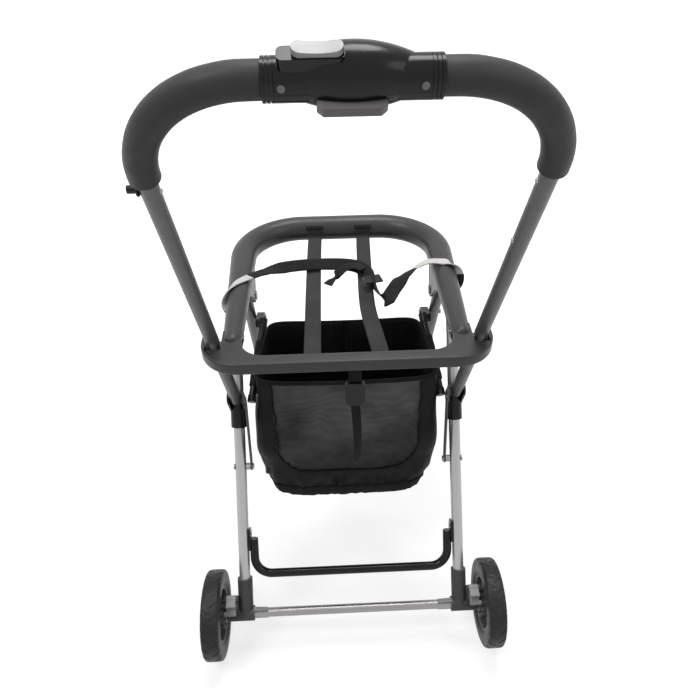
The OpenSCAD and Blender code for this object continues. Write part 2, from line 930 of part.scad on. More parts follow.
// Lugs in the lower ends of the arms, on the pivot pins
module arm_lugs() {
    lug_half = slot_half - fork_w - 0.65;
    plug_r = arm_r - arm_wall - fit;
    color("dimgray")
        for (side = BOTH)
            placed(side)
                arm_frame()
                    difference() {
                        union() {
                            x_rod(arm_x - lug_half, arm_x + lug_half, 0, 0, arm_r - 1);
                            translate([arm_x, 0, 0])
                                cylinder(r = plug_r - 0.6, h = arm_r + 9);
                            translate([arm_x, 0, arm_r + 8])
                                cylinder(r = plug_r, h = 22);
                        }
                        x_rod(arm_x - arm_d, arm_x + arm_d, 0, 0, ring_pin_r + fit);
                    }
}

module foam_grip(side) {
    color("black")
        placed(side)
            arm_frame()
                difference() {
                    handle_half(foam_from, foam_x, foam_d / 2);
                    handle_half(foam_from - bite, foam_x - bite, arm_r + fit);
                }
}

module grip_collars() {
    color("black")
        for (side = BOTH)
            placed(side)
                arm_frame()
                    translate([housing_w / 2 + soft_gap, 0, arm_length])
                        rotate([0, 90, 0])
                            difference() {
                                union() {
                                    cylinder(r = collar_r - 1.5, h = collar_w);
                                    for (x = [0:3.4:collar_w - 2.6])
                                        translate([0, 0, x])
                                            cylinder(r = collar_r, h = 2.6);
                                }
                                translate([0, 0, -bite])
                                    cylinder(r = arm_r + fit, h = collar_w + 2 * bite);
                            }
}

// Swell of the housing, drawn in by inset for its inside
module housing_swell(inset) {
    bands = 10;
    half = swell_half - inset;
    translate([0, swell_ahead, arm_length])
        rotate([0, 90, 0])
            rotate_extrude()
                polygon(concat(
                    [[0, -half]],
                    [for (i = [-bands:bands]) [swell_r_at(half * i / bands) - inset, half * i / bands]],
                    [[0, half]]));
}

module housing_shell() {
    difference() {
        union() {
            housing_swell(0);
            x_rod(-housing_w / 2, housing_w / 2, 0, arm_length, neck_r);
            translate([pad_in + pad_w / 2 - housing_w / 2, pad_y, arm_length])
                linear_extrude(pad_top)
                    round_rect(pad_w, pad_d, 5);
        }
        housing_swell(housing_wall);
        x_rod(-housing_w, housing_w, 0, arm_length, arm_r + fit);
    }
}

// Everything above or below the plane that parts the two shells
module shell_half(way) {
    translate([0, 0, arm_length + way * (housing_d + seam / 2)])
        cube([2 * housing_w, 2 * housing_d, 2 * housing_d], center = true);
}

module housing_top() {
    color("black")
        placed()
            arm_frame()
                difference() {
                    intersection() {
                        housing_shell();
                        shell_half(1);
                    }
                    // Slot that the button's stem slides in
                    box([button_x - stem_w / 2 - gap, pad_y - stem_d / 2 - gap, arm_length + stem_low - gap],
                        [button_x + stem_w / 2 + button_travel + gap, pad_y + stem_d / 2 + gap,
                            arm_length + housing_d]);
                }
}

module housing_bottom() {
    color("black")
        placed()
            arm_frame()
                difference() {
                    intersection() {
                        housing_shell();
                        shell_half(-1);
                    }
                    // Mouth that the trigger slides through
                    box([trigger_x - trigger_w / 2 - gap, -housing_d,
                            arm_length - trigger_below - trigger_h - gap],
                        [trigger_x + trigger_w / 2 + gap,
                            swell_back + 2 * housing_wall + trigger_travel + gap,
                            arm_length - trigger_below + gap]);
                }
}

// Screws in the necks, on the side towards the person who pushes
module housing_screws() {
    from_end = 5.5;
    turned = 70;
    color("silver")
        placed()
            arm_frame()
                for (x = [-1, 1])
                    translate([x * (housing_w / 2 - from_end), 0, arm_length])
                        rotate([turned, 0, 0])
                            translate([0, 0, neck_r + fit])
                                cylinder(r = 3, h = 1.2);
}

module slide_button() {
    top = arm_length + pad_top;
    color("whitesmoke")
        placed()
            arm_frame() {
                translate([button_x, pad_y, top + soft_gap])
                    linear_extrude(button_h)
                        round_rect(button_w, button_d, button_d / 2 - 0.1);
                box([button_x - stem_w / 2, pad_y - stem_d / 2, arm_length + stem_low],
                    [button_x + stem_w / 2, pad_y + stem_d / 2, top + bite]);
            }
}

module squeeze_trigger() {
    slant = 5;
    color("gray")
        placed()
            arm_frame()
                translate([trigger_x, swell_back, arm_length - trigger_below - trigger_h])
                    linear_extrude(trigger_h)
                        polygon([
                            [-trigger_w / 2, 2 * housing_wall], [-trigger_w / 2, -1],
                            [-trigger_w / 2 + slant, -trigger_out], [trigger_w / 2 - slant, -trigger_out],
                            [trigger_w / 2, -1], [trigger_w / 2, 2 * housing_wall]]);
}

// Peg on the left arm that takes a cup tray
peg_s = foam_from - 14;
peg_l = 9;
peg_x = arm_x + arm_r + soft_gap;

module tray_peg() {
    color("black")
        placed(LEFT)
            arm_frame() {
                x_rod(peg_x, peg_x + 2, 0, peg_s, peg_d / 2 + 3);
                x_rod(peg_x + 2, peg_x + 2 + peg_l, 0, peg_s, peg_d / 2);
            }
}

// Basket

// Where the rails' front caps and rear ends begin, and how far they stand out
rail_cap_from = past(rail_b, rail_a, -14);
rail_end_from = past(rail_a, rail_b, -10);
rail_cap_step = 1;

module basket_rail(side) {
    color("black")
        placed(side)
            difference() {
                union() {
                    rod(rail_b, rail_a, basket_r);
                    rod(rail_cap_from, past(rail_b, rail_a, 2), basket_r + rail_cap_step);
                    rod(rail_end_from, past(rail_a, rail_b, 2), basket_r + rail_cap_step);
                    // Clip that turns on the front leg
                    x_plate(clip_x[0], clip_x[1])
                        link_2d([rail_a.y - 4, rail_a.z - 3], [clip.y, clip.z], 8);
                }
                x_rod(clip_x[0] - bite, clip_x[1] + bite, clip.y, clip.z, rivet_r + fit);
            }
}

module basket_links() {
    low = [link_low.y, link_low.z];
    high = [link_high.y, link_high.z];
    color("gray")
        for (side = BOTH)
            placed(side) {
                x_plate(link_x, link_x + link_w)
                    difference() {
                        link_2d(low, high, 7);
                        translate(low)
                            circle(rivet_r + fit);
                    }
                x_rod(link_x + bite, link_x + link_w + rivet_head_h, high.x, high.y, rivet_head_r);
            }
}

// Cloth basket between its two rails, open at the top; sleeves hold it on the rails
module basket_form(inset) {
    low_r = 34;
    top_r = 12;
    tuck = 16;
    rise = 92;
    nose = 12;
    over = 60;
    back = rail_b.y - 28 + low_r;
    front = rail_a.y - low_r;
    side_x = basket_x - low_r;
    low_z = basket_floor_z + low_r;
    hull()
        for (side = BOTH)
            mirror([side < 0 ? 1 : 0, 0, 0]) {
                // Floor, drawn in at the sides, and the widest level above it
                for (p = [
                    [side_x - tuck, back, low_z], [side_x - tuck - nose, front, low_z],
                    [side_x, back, low_z + rise], [side_x - nose, front, low_z + rise]])
                    translate(p)
                        sphere(low_r - inset, $fn = 24);
                // Above the rim, cut off later
                for (p = [
                    [rail_b.x - top_r - 2, rail_b.y + top_r - 4, rail_b.z + over],
                    [rail_a.x - basket_r - top_r + 4, rail_a.y - 2, rail_a.z + over]])
                    translate(p)
                        sphere(top_r - inset, $fn = 24);
            }
}

module basket() {
    cut = 2 * basket_x;
    sleeve_front = 40;
    sleeve_back = 26;
    sleeve_wall = 2.5;
    rim_back = [0, rail_b.y, rail_b.z + 52];
    rim_front = [0, rail_a.y, rail_a.z - 2];
    rim_lean = atan((rim_front.z - rim_back.z) / (rim_front.y - rim_back.y));
    color("black")
        placed()
            difference() {
                union() {
                    difference() {
                        basket_form(0);
                        basket_form(basket_wall);
                        translate(rim_back)
                            rotate([rim_lean, 0, 0])
                                translate([-cut, -cut, 0])
                                    cube(2 * cut);
                    }
                    for (side = BOTH)
                        mirror([side < 0 ? 1 : 0, 0, 0])
                            rod(past(rail_b, rail_a, -sleeve_front), past(rail_a, rail_b, -sleeve_back),
                                basket_r + sleeve_wall);
                }
                for (side = BOTH)
                    mirror([side < 0 ? 1 : 0, 0, 0]) {
                        rod(past(rail_a, rail_b, 10), past(rail_b, rail_a, 10), basket_r + soft_gap);
                        rod(rail_cap_from, past(rail_b, rail_a, 10), basket_r + rail_cap_step + soft_gap);
                        rod(rail_end_from, past(rail_a, rail_b, 10), basket_r + rail_cap_step + soft_gap);
                    }
            }
}

rear_leg(LEFT);  // rear_leg_left
rear_leg(RIGHT);  // rear_leg_right
axle_socket(LEFT);  // axle_socket_left
axle_socket(RIGHT);  // axle_socket_right
rear_axle();
axle_caps();
lower_bar();
lower_bar_rivets();
hinge_bracket(LEFT);  // hinge_bracket_left
hinge_bracket(RIGHT);  // hinge_bracket_right
leg_pivot_pins();
link_pivots();
brake_pedal(LEFT);  // brake_pedal_left
brake_pedal(RIGHT);  // brake_pedal_right
rear_tyre(LEFT);  // rear_tyre_left
rear_tyre(RIGHT);  // rear_tyre_right
rear_hub(LEFT);  // rear_hub_left
rear_hub(RIGHT);  // rear_hub_right
front_leg(LEFT);  // front_leg_left
front_leg(RIGHT);  // front_leg_right
front_cross_bar();
basket_pivots();
caster_socket(LEFT);  // caster_socket_left
caster_socket(RIGHT);  // caster_socket_right
caster_fork(LEFT);  // caster_fork_left
caster_fork(RIGHT);  // caster_fork_right
front_axle(LEFT);  // front_axle_left
front_axle(RIGHT);  // front_axle_right
front_tyre(LEFT);  // front_tyre_left
front_tyre(RIGHT);  // front_tyre_right
front_hub(LEFT);  // front_hub_left
front_hub(RIGHT);  // front_hub_right
ring_front_bar();
ring_rail(LEFT);  // ring_rail_left
ring_rail(RIGHT);  // ring_rail_right
ring_rear_bar();
ring_screws();
arm_pivot_pins();
arm_strut(LEFT);  // arm_strut_left
arm_strut(RIGHT);  // arm_strut_right
ring_strap(LEFT);  // ring_strap_left
ring_strap(RIGHT);  // ring_strap_right
safety_strap();
buckle_strap();
buckle();
handle_tube();
arm_lugs();
foam_grip(LEFT);  // foam_grip_left
foam_grip(RIGHT);  // foam_grip_right
housing_top();
housing_bottom();
grip_collars();
housing_screws();
tray_peg();
slide_button();
squeeze_trigger();
basket_rail(LEFT);  // basket_rail_left
basket_rail(RIGHT);  // basket_rail_right
basket();
basket_links();
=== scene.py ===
"""Looks of the folding stroller frame: camera, light, finishes and the soft and rounded pieces."""
import json
import math
import bmesh
import bpy
from mathutils import Matrix, Vector, noise


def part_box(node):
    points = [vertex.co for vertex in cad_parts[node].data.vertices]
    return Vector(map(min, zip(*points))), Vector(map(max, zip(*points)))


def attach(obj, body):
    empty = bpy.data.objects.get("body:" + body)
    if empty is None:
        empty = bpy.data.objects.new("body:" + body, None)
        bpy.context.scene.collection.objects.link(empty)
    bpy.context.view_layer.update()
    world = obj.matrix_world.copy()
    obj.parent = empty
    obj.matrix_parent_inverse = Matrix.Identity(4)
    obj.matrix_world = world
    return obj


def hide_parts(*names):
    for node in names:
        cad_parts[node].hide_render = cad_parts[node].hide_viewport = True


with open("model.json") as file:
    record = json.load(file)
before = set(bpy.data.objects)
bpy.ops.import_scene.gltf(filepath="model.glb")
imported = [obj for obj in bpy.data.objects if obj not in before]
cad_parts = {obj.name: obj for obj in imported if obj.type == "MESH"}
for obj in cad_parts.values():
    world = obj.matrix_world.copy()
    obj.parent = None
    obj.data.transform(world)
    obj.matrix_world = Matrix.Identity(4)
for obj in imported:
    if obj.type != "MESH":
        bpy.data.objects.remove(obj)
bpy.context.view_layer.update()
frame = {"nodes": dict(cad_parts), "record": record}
scene = bpy.context.scene
scene.view_settings.view_transform = "Standard"

MM = 0.001
axle_low, axle_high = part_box("rear_axle")
AXLE_Y = (axle_low.y + axle_high.y) / 2


def spot(x, y, z):
    """A point in metres, from millimetres counted from the rear axle and the floor."""
    return Vector((x * MM, y * MM + AXLE_Y, z * MM))


# Sizes of the frame that the soft and rounded pieces follow, in millimetres
RING_Z = 610
RING_BACK_Y = 111.7
RING_SEAM_Y = 327
RAIL_X = 160.5
RAIL_SPLAY = 4
RAIL_R = 14
RAIL_SWELL = 7
ARM_X = 184.5
ARM_R = 9.5
ARM_LENGTH = 455
ARM_LEAN = math.radians(26.5)
HANDLE_BEND = 103.9
FOAM_R = 15
FOAM_BORE = ARM_R + 0.3
FOAM_FROM = 349.1
FOAM_IN = 69.1
BASKET_RAIL_FRONT = Vector((139, 295, 506))
BASKET_RAIL_BACK = Vector((158, 174, 428))
ARM_FOOT = spot(0, 90.7, 606)
ARM_FRAME = Matrix.Translation(ARM_FOOT) @ Matrix.Rotation(ARM_LEAN, 4, "X") @ Matrix.Scale(MM, 4)


# Camera and light. The camera is the photo's: focal length and width in pixels, angles in degrees
FOCAL = 640
PICTURE_WIDTH = 700
SENSOR = 36
YAW, PITCH, ROLL = 2.16, 38.0, 0.69
CAMERA_PLACE = (-23.6, -619.8, 1149)
AMBIENT = 0.17
FLOOR_HALF = 25
FLOOR_TONES = (0.40, 0.40, 0.40, 1), (0.43, 0.43, 0.43, 1)
SHADOW_REACH = 0.35, 1.25
SHADOW_GLOW = 0.74


def calc(nodes, links, operation, *values):
    """Maths node; each value is a number or the output of another node."""
    node = nodes.new("ShaderNodeMath")
    node.operation = operation
    for entry, value in zip(node.inputs, values):
        if isinstance(value, (int, float)):
            entry.default_value = value
        else:
            links.new(value, entry)
    return node.outputs[0]


def ranged(nodes, links, value, start, stop, low, high=1.0, way="LINEAR"):
    """Spreads a value from start and stop to low and high."""
    span = nodes.new("ShaderNodeMapRange")
    span.interpolation_type = way
    for entry, number in (("From Min", start), ("From Max", stop), ("To Min", low), ("To Max", high)):
        span.inputs[entry].default_value = number
    links.new(value, span.inputs["Value"])
    return span.outputs["Result"]


def place_camera():
    yaw, pitch, roll = (math.radians(a) for a in (YAW, PITCH, ROLL))
    ahead = Vector((math.sin(yaw) * math.cos(pitch), math.cos(yaw) * math.cos(pitch), -math.sin(pitch)))
    level = Vector((math.cos(yaw), -math.sin(yaw), 0))
    down = ahead.cross(level)
    right = math.cos(roll) * level + math.sin(roll) * down
    below = math.cos(roll) * down - math.sin(roll) * level
    data = bpy.data.cameras.new("photo_camera")
    data.sensor_width = SENSOR
    data.lens = FOCAL / PICTURE_WIDTH * SENSOR
    camera = bpy.data.objects.new("photo_camera", data)
    turn = Matrix((right, -below, -ahead)).transposed().to_4x4()
    turn.translation = spot(*CAMERA_PLACE)
    camera.matrix_world = turn
    scene.collection.objects.link(camera)
    scene.camera = camera


def soft_box(name, place, aim, width, watts):
    data = bpy.data.lights.new(name, "AREA")
    data.shape = "DISK"
    data.size = width
    data.energy = watts
    lamp = bpy.data.objects.new(name, data)
    lamp.location = place
    lamp.rotation_mode = "QUATERNION"
    lamp.rotation_quaternion = (Vector(aim) - Vector(place)).to_track_quat("-Z", "Y")
    scene.collection.objects.link(lamp)


def seen_directly(nodes, links):
    """1 for camera, mirror and glass rays, 0 for the light that falls on the object."""
    path = nodes.new("ShaderNodeLightPath")
    seen = path.outputs["Is Camera Ray"]
    for kind in ("Is Glossy Ray", "Is Transmission Ray"):
        seen = calc(nodes, links, "MAXIMUM", seen, path.outputs[kind])
    return seen


def light_room():
    world = bpy.data.worlds.new("pale_room")
    world.use_nodes = True
    scene.world = world
    nodes, links = world.node_tree.nodes, world.node_tree.links
    back = nodes["Background"]
    back.inputs["Color"].default_value = (1, 1, 1, 1)
    links.new(ranged(nodes, links, seen_directly(nodes, links), 0, 1, AMBIENT), back.inputs["Strength"])
    soft_box("key", (-2.4, -1.2, 5.0), (0, 0, 0.45), 2.0, 95)
    soft_box("fill", (3.0, -2.0, 3.4), (0, 0, 0.4), 2.4, 26)
    soft_box("top", (0.4, 1.4, 5.2), (0, 0.05, 0.3), 2.4, 130)


def lay_floor():
    """White floor that takes a soft shadow near the object and fades into the white room."""
    bm = bmesh.new()
    bmesh.ops.create_grid(bm, x_segments=1, y_segments=1, size=FLOOR_HALF)
    mesh = bpy.data.meshes.new("floor")
    bm.to_mesh(mesh)
    bm.free()
    floor = bpy.data.objects.new("floor", mesh)
    scene.collection.objects.link(floor)
    paint, nodes, links, shader = new_finish("floor_white", 0.9, 0.0, 0.1)
    shader.inputs["Emission Color"].default_value = (1, 1, 1, 1)
    where = nodes.new("ShaderNodeTexCoord").outputs["Object"]
    cloud = noise_at(nodes, links, where, 0.6, 2.0, 0.5)
    links.new(colour_between(nodes, links, cloud, *FLOOR_TONES), shader.inputs["Base Color"])
    reach = nodes.new("ShaderNodeVectorMath")
    reach.operation = "LENGTH"
    links.new(where, reach.inputs[0])
    far = ranged(nodes, links, reach.outputs["Value"], *SHADOW_REACH, SHADOW_GLOW, way="SMOOTHSTEP")
    glow = calc(nodes, links, "MULTIPLY", seen_directly(nodes, links), far)
    links.new(glow, shader.inputs["Emission Strength"])
    floor.data.materials.append(paint)


# Finishes

def grey(level, warm=0.0):
    """Linear colour of a display grey from 0 to 255; warm shifts it towards brown."""
    v = ((level / 255 + 0.055) / 1.055) ** 2.4 if level > 10 else level / 255 / 12.92
    return (v * (1 + warm), v, v * (1 - warm), 1)


def shade(colour, factor):
    return (colour[0] * factor, colour[1] * factor, colour[2] * factor, 1)


def new_finish(name, rough, metal, shine):
    paint = bpy.data.materials.new(name)
    paint.use_nodes = True
    shader = paint.node_tree.nodes["Principled BSDF"]
    shader.inputs["Roughness"].default_value = rough
    shader.inputs["Metallic"].default_value = metal
    shader.inputs["Specular IOR Level"].default_value = shine
    return paint, paint.node_tree.nodes, paint.node_tree.links, shader


def colour_between(nodes, links, factor, dark, light):
    mix = nodes.new("ShaderNodeMix")
    mix.data_type = "RGBA"
    mix.inputs[6].default_value = dark
    mix.inputs[7].default_value = light
    links.new(factor, mix.inputs[0])
    return mix.outputs[2]


def noise_at(nodes, links, vector, scale, detail=3.0, rough=0.55):
    cloud = nodes.new("ShaderNodeTexNoise")
    cloud.inputs["Scale"].default_value = scale
    cloud.inputs["Detail"].default_value = detail
    cloud.inputs["Roughness"].default_value = rough
    links.new(vector, cloud.inputs["Vector"])
    return cloud.outputs["Fac"]


def spread_rough(nodes, links, factor, shader, low, high):
    links.new(ranged(nodes, links, factor, 0.3, 0.7, low, high), shader.inputs["Roughness"])


def raise_from(nodes, links, height, shader, strength, depth):
    bump = nodes.new("ShaderNodeBump")
    bump.inputs["Strength"].default_value = strength
    bump.inputs["Distance"].default_value = depth
    links.new(height, bump.inputs["Height"])
    links.new(bump.outputs["Normal"], shader.inputs["Normal"])


def moulded(name, colour, rough, metal=0.0, spread=0.14, patch=28, grain=900, strength=0.25, depth=0.0002,
            stretch=(1, 1, 1), shine=0.5):
    """Moulded, painted or plated finish: cloudy tone, uneven gloss and a fine grain."""
    paint, nodes, links, shader = new_finish(name, rough, metal, shine)
    where = nodes.new("ShaderNodeTexCoord")
    turn = nodes.new("ShaderNodeMapping")
    turn.inputs["Scale"].default_value = stretch
    links.new(where.outputs["Object"], turn.inputs["Vector"])
    cloud = noise_at(nodes, links, turn.outputs["Vector"], patch, 5)
    links.new(colour_between(nodes, links, cloud, shade(colour, 1 - spread), shade(colour, 1 + spread)),
              shader.inputs["Base Color"])
    spread_rough(nodes, links, noise_at(nodes, links, turn.outputs["Vector"], patch * 2.3), shader,
                 rough * 0.86, min(1.0, rough * 1.16))
    raise_from(nodes, links, noise_at(nodes, links, where.outputs["Object"], grain), shader, strength, depth)
    return paint


def woven(name, dark, light, pitch, rough=0.85, sheen=0.08, creases=0.0, shine=0.12):
    """Webbing or cloth: crossing threads on the piece's own map, laid out in metres."""
    paint, nodes, links, shader = new_finish(name, rough, 0.0, shine)
    shader.inputs["Sheen Weight"].default_value = sheen
    shader.inputs["Sheen Roughness"].default_value = 0.5
    where = nodes.new("ShaderNodeTexCoord")
    threads = []
    for way in ("X", "Y"):
        wave = nodes.new("ShaderNodeTexWave")
        wave.bands_direction = way
        wave.inputs["Scale"].default_value = 2 * math.pi / (20 * pitch)
        wave.inputs["Distortion"].default_value = 0.6
        links.new(where.outputs["UV"], wave.inputs["Vector"])
        threads.append(wave.outputs["Fac"])
    weave = calc(nodes, links, "MULTIPLY", *threads)
    cloud = noise_at(nodes, links, where.outputs["Object"], 24, 6)
    tone = calc(nodes, links, "MULTIPLY_ADD", weave, 0.5, cloud)
    links.new(colour_between(nodes, links, tone, dark, light), shader.inputs["Base Color"])
    crease = noise_at(nodes, links, where.outputs["Object"], 55, 4)
    height = calc(nodes, links, "MULTIPLY_ADD", crease, creases, weave)
    raise_from(nodes, links, height, shader, 0.5, 0.0004)
    return paint


def net(name, thread, hole):
    """Fine net of the basket's rear panel: small holes in a knitted ground, with painted shade making it
    darker towards the floor seam.
    """
    paint, nodes, links, shader = new_finish(name, 0.8, 0.0, 0.12)
    shader.inputs["Sheen Weight"].default_value = 0.05
    where = nodes.new("ShaderNodeTexCoord").outputs["Object"]
    cell = nodes.new("ShaderNodeTexVoronoi")
    cell.inputs["Scale"].default_value = 620
    cell.inputs["Randomness"].default_value = 0.2
    links.new(where, cell.inputs["Vector"])
    part = nodes.new("ShaderNodeSeparateXYZ")
    links.new(where, part.inputs[0])
    ground = ranged(nodes, links, cell.outputs["Distance"], 0.15, 0.6, 0.55)
    # Painted shade: the net is drawn darker from 0.36 m down to 0.275 m above the floor, for the low part of
    # the bag's back that gets less light
    light = ranged(nodes, links, part.outputs["Z"], 0.275, 0.36, 0.3)
    folds = ranged(nodes, links, noise_at(nodes, links, where, 13, 2), 0.36, 0.64, 0.35)
    cover = calc(nodes, links, "MULTIPLY", calc(nodes, links, "MULTIPLY", ground, light), folds)
    links.new(colour_between(nodes, links, cover, hole, thread), shader.inputs["Base Color"])
    raise_from(nodes, links, ground, shader, 0.3, 0.0003)
    return paint


LEG_SILVER = moulded("leg_silver", grey(188), 0.34, metal=0.55, spread=0.08, patch=40, grain=1400,
                     strength=0.1)
ARM_GREY = moulded("arm_grey", grey(104), 0.42, metal=0.35, spread=0.1, patch=45, grain=1200, strength=0.12)
LINK_GREY = moulded("link_grey", grey(74), 0.4, metal=0.4, spread=0.12, patch=60, grain=1200, strength=0.12)
RING_CHARCOAL = moulded("ring_charcoal", grey(62, 0.015), 0.36, spread=0.12, patch=22, grain=1500,
                        strength=0.3, shine=0.3)
BLACK_PLASTIC = moulded("black_plastic", grey(14), 0.36, spread=0.2, patch=30, grain=1300, strength=0.15,
                        shine=0.25)
HOUSING_BLACK = moulded("housing_black", grey(11), 0.22, spread=0.18, patch=18, grain=900, strength=0.06,
                        shine=0.25)
GLOSS_BLACK = moulded("gloss_black", grey(11), 0.22, spread=0.2, patch=30, grain=700, strength=0.08,
                      shine=0.25)
SOCKET_GREY = moulded("socket_grey", grey(76), 0.52, spread=0.14, patch=35, grain=1200, strength=0.3,
                      shine=0.3)
GUSSET_GREY = moulded("gusset_grey", grey(140), 0.5, spread=0.08, patch=40, grain=1100, strength=0.25)
PEDAL_GREY = moulded("pedal_grey", grey(158), 0.5, spread=0.07, patch=45, grain=1100, strength=0.25)
BUTTON_GREY = moulded("button_grey", grey(190), 0.4, spread=0.05, patch=40, grain=1500, strength=0.12)
TRIGGER_GREY = moulded("trigger_grey", grey(116, 0.03), 0.5, spread=0.1, patch=45, grain=1300,
                       strength=0.25)
FOAM = moulded("grip_foam", grey(68, 0.01), 0.46, spread=0.08, patch=34, grain=1900, strength=0.3,
               depth=0.0003, shine=0.2)
RUBBER = moulded("tyre_rubber", grey(38, 0.04), 0.42, spread=0.3, patch=38, grain=1000, strength=0.4,
                 depth=0.0003, shine=0.25)
HUB_GREY = moulded("hub_grey", grey(104), 0.5, spread=0.12, patch=35, grain=1000, strength=0.25, shine=0.3)
CHROME = moulded("axle_plating", grey(146, 0.03), 0.3, metal=1.0, spread=0.08, patch=90, grain=600,
                 strength=0.15, stretch=(0.15, 1, 1))
RIVET_STEEL = moulded("rivet_steel", grey(150), 0.34, metal=1.0, spread=0.12, patch=160, grain=900,
                      strength=0.15)
SCREW_GREY = moulded("screw_grey", grey(98, 0.03), 0.45, metal=0.6, spread=0.2, patch=200, grain=900,
                     strength=0.2)
STRAP_GREY = woven("strap_grey", grey(42), grey(72), 0.0017)
STRAP_BLACK = woven("strap_black", grey(20), grey(46), 0.0016)
STRAP_CREAM = woven("strap_cream", grey(200, 0.04), grey(228, 0.03), 0.0016)
BASKET_BLACK = woven("basket_black", grey(9), grey(30), 0.0014, rough=0.55, sheen=0.02, creases=1.6,
                     shine=0.12)
BASKET_BAND = woven("basket_band", grey(24), grey(54), 0.0014, sheen=0.04, creases=1.2)
BASKET_NET = net("basket_net", grey(116), grey(30))
BINDING = woven("binding_grey", grey(112, 0.03), grey(150, 0.03), 0.0016, sheen=0.2)
PIPING = woven("piping_black", grey(12), grey(34), 0.0012, sheen=0.05)


# Making pieces

def piece(name, bm, body, finishes, nodes=(), keep=40):
    """Turns a bmesh into a piece that rides on a body; edges sharper than keep degrees stay crisp."""
    limit = math.radians(keep)
    for face in bm.faces:
        face.smooth = True
    for edge in bm.edges:
        edge.smooth = not (edge.is_manifold and edge.calc_face_angle(0.0) > limit)
    mesh = bpy.data.meshes.new(name)
    bm.to_mesh(mesh)
    bm.free()
    obj = bpy.data.objects.new(name, mesh)
    scene.collection.objects.link(obj)
    for paint in finishes if isinstance(finishes, (list, tuple)) else [finishes]:
        mesh.materials.append(paint)
    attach(obj, body)
    if nodes:
        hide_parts(*nodes)
    return obj


def thicken(obj, wall, offset=-1.0):
    shell = obj.modifiers.new("wall", "SOLIDIFY")
    shell.thickness = wall
    shell.offset = offset
    shell.use_rim = True
    return obj


SIDES = {"left": -1, "right": 1}
BODIES = {n: b for b, held in frame["record"]["behaviour"]["bodies"].items() for n in held}


def coat(node, paint):
    """Gives a node that keeps its own mesh a better finish."""
    data = frame["nodes"][node].data
    data.materials.clear()
    data.materials.append(paint)


def own_copy(node):
    """The node's own mesh as a bmesh with whole flat faces."""
    bm = bmesh.new()
    bm.from_mesh(frame["nodes"][node].data)
    bmesh.ops.remove_doubles(bm, verts=bm.verts, dist=3e-6)
    bmesh.ops.dissolve_limit(bm, angle_limit=math.radians(1.0), verts=bm.verts, edges=bm.edges)
    return bm


def sharp_edges(bm, limit=30):
    return [e for e in bm.edges if e.is_manifold and e.calc_face_angle(0.0) > math.radians(limit)]


def round_off(bm, edges, size, steps):
    bmesh.ops.bevel(bm, geom=edges, offset=size * MM, offset_type="OFFSET", segments=steps, profile=0.5,
                    affect="EDGES", clamp_overlap=True, material=-1)


def on_side(bm, side):
    """Mirrors a shape made for the right side where the left one is wanted; its faces then look outwards."""
    if side == "left":
        bmesh.ops.scale(bm, vec=(-1, 1, 1), verts=bm.verts)
    bmesh.ops.recalc_face_normals(bm, faces=bm.faces)


def mapped_grid(steps, rows, length, width):
    """Flat grid from -0.5 to 0.5 with a map in metres, for cloth and webbing."""
    bm = bmesh.new()
    bm.loops.layers.uv.new("map")
    bmesh.ops.create_grid(bm, x_segments=steps, y_segments=rows, size=0.5, calc_uvs=True)
    layer = bm.loops.layers.uv.active
    for face in bm.faces:
        for loop in face.loops:
            loop[layer].uv = ((loop.vert.co.x + 0.5) * length, (loop.vert.co.y + 0.5) * width)
    return bm


def turned(bm, points, centre, steps):
    """Turns a profile of points all the way round the crosswise line through centre."""
    verts = [bm.verts.new(p) for p in points]
    edges = [bm.edges.new(pair) for pair in zip(verts, verts[1:])]
    bmesh.ops.spin(bm, geom=verts + edges, cent=centre, axis=(1, 0, 0), angle=2 * math.pi, steps=steps,
                   use_merge=True)


def eased(node, paint, edge=0.8, steps=2):
    """Stands for a node with the same shape, its edges rounded by edge millimetres."""
    bm = own_copy(node)
    round_off(bm, sharp_edges(bm), edge, steps)
    shape = piece(node + "_eased", bm, BODIES[node], paint, [node], keep=35)
    shape.modifiers.new("even_shading", "WEIGHTED_NORMAL").keep_sharp = True
    return shape


GUSSET_INSIDE = 0.1755


def axle_socket(side):
    """Dark socket with the paler gusset towards the middle of the axle."""
    socket = eased(f"axle_socket_{side}", SOCKET_GREY, 0.9)
    socket.data.materials.append(GUSSET_GREY)
    for face in socket.data.polygons:
        if abs(face.center.x) < GUSSET_INSIDE:
            face.material_index = 1


POCKET_HALF = 0.0125
POCKET_FROM_Y = 66
BAR_ROUND = 4.2


def rear_bar():
    """Rear bar of the ring with well rounded long edges; the pockets of the arms stay crisp."""
    node = "ring_rear_bar"
    _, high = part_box(node)
    bm = own_copy(node)
    rims = []
    for e in sharp_edges(bm):
        mid = (e.verts[0].co + e.verts[1].co) / 2
        level = abs(e.verts[0].co.z - e.verts[1].co.z) < 1e-5
        pocket = abs(abs(mid.x) - ARM_X * MM) < POCKET_HALF and mid.y > spot(0, POCKET_FROM_Y, 0).y
        if level and not pocket and mid.y < high.y - 1e-4:
            rims.append(e)
    round_off(bm, rims, BAR_ROUND, 5)
    return piece("rear_bar_rounded", bm, BODIES[node], RING_CHARCOAL, [node], keep=35)


# Slide button, in millimetres along the arm frame
PAD_Y = -2
BUTTON_ROUND = 1.8
BUTTON_CUTS = 16
HOLLOW = 2.2
HOLLOW_REACH = 4
STEM_BELOW = 5.9
STEM_HALF_X, STEM_HALF_Y = 11.2, 4.2
STEM_SHARE_X, STEM_SHARE_Y = 0.92, 0.8


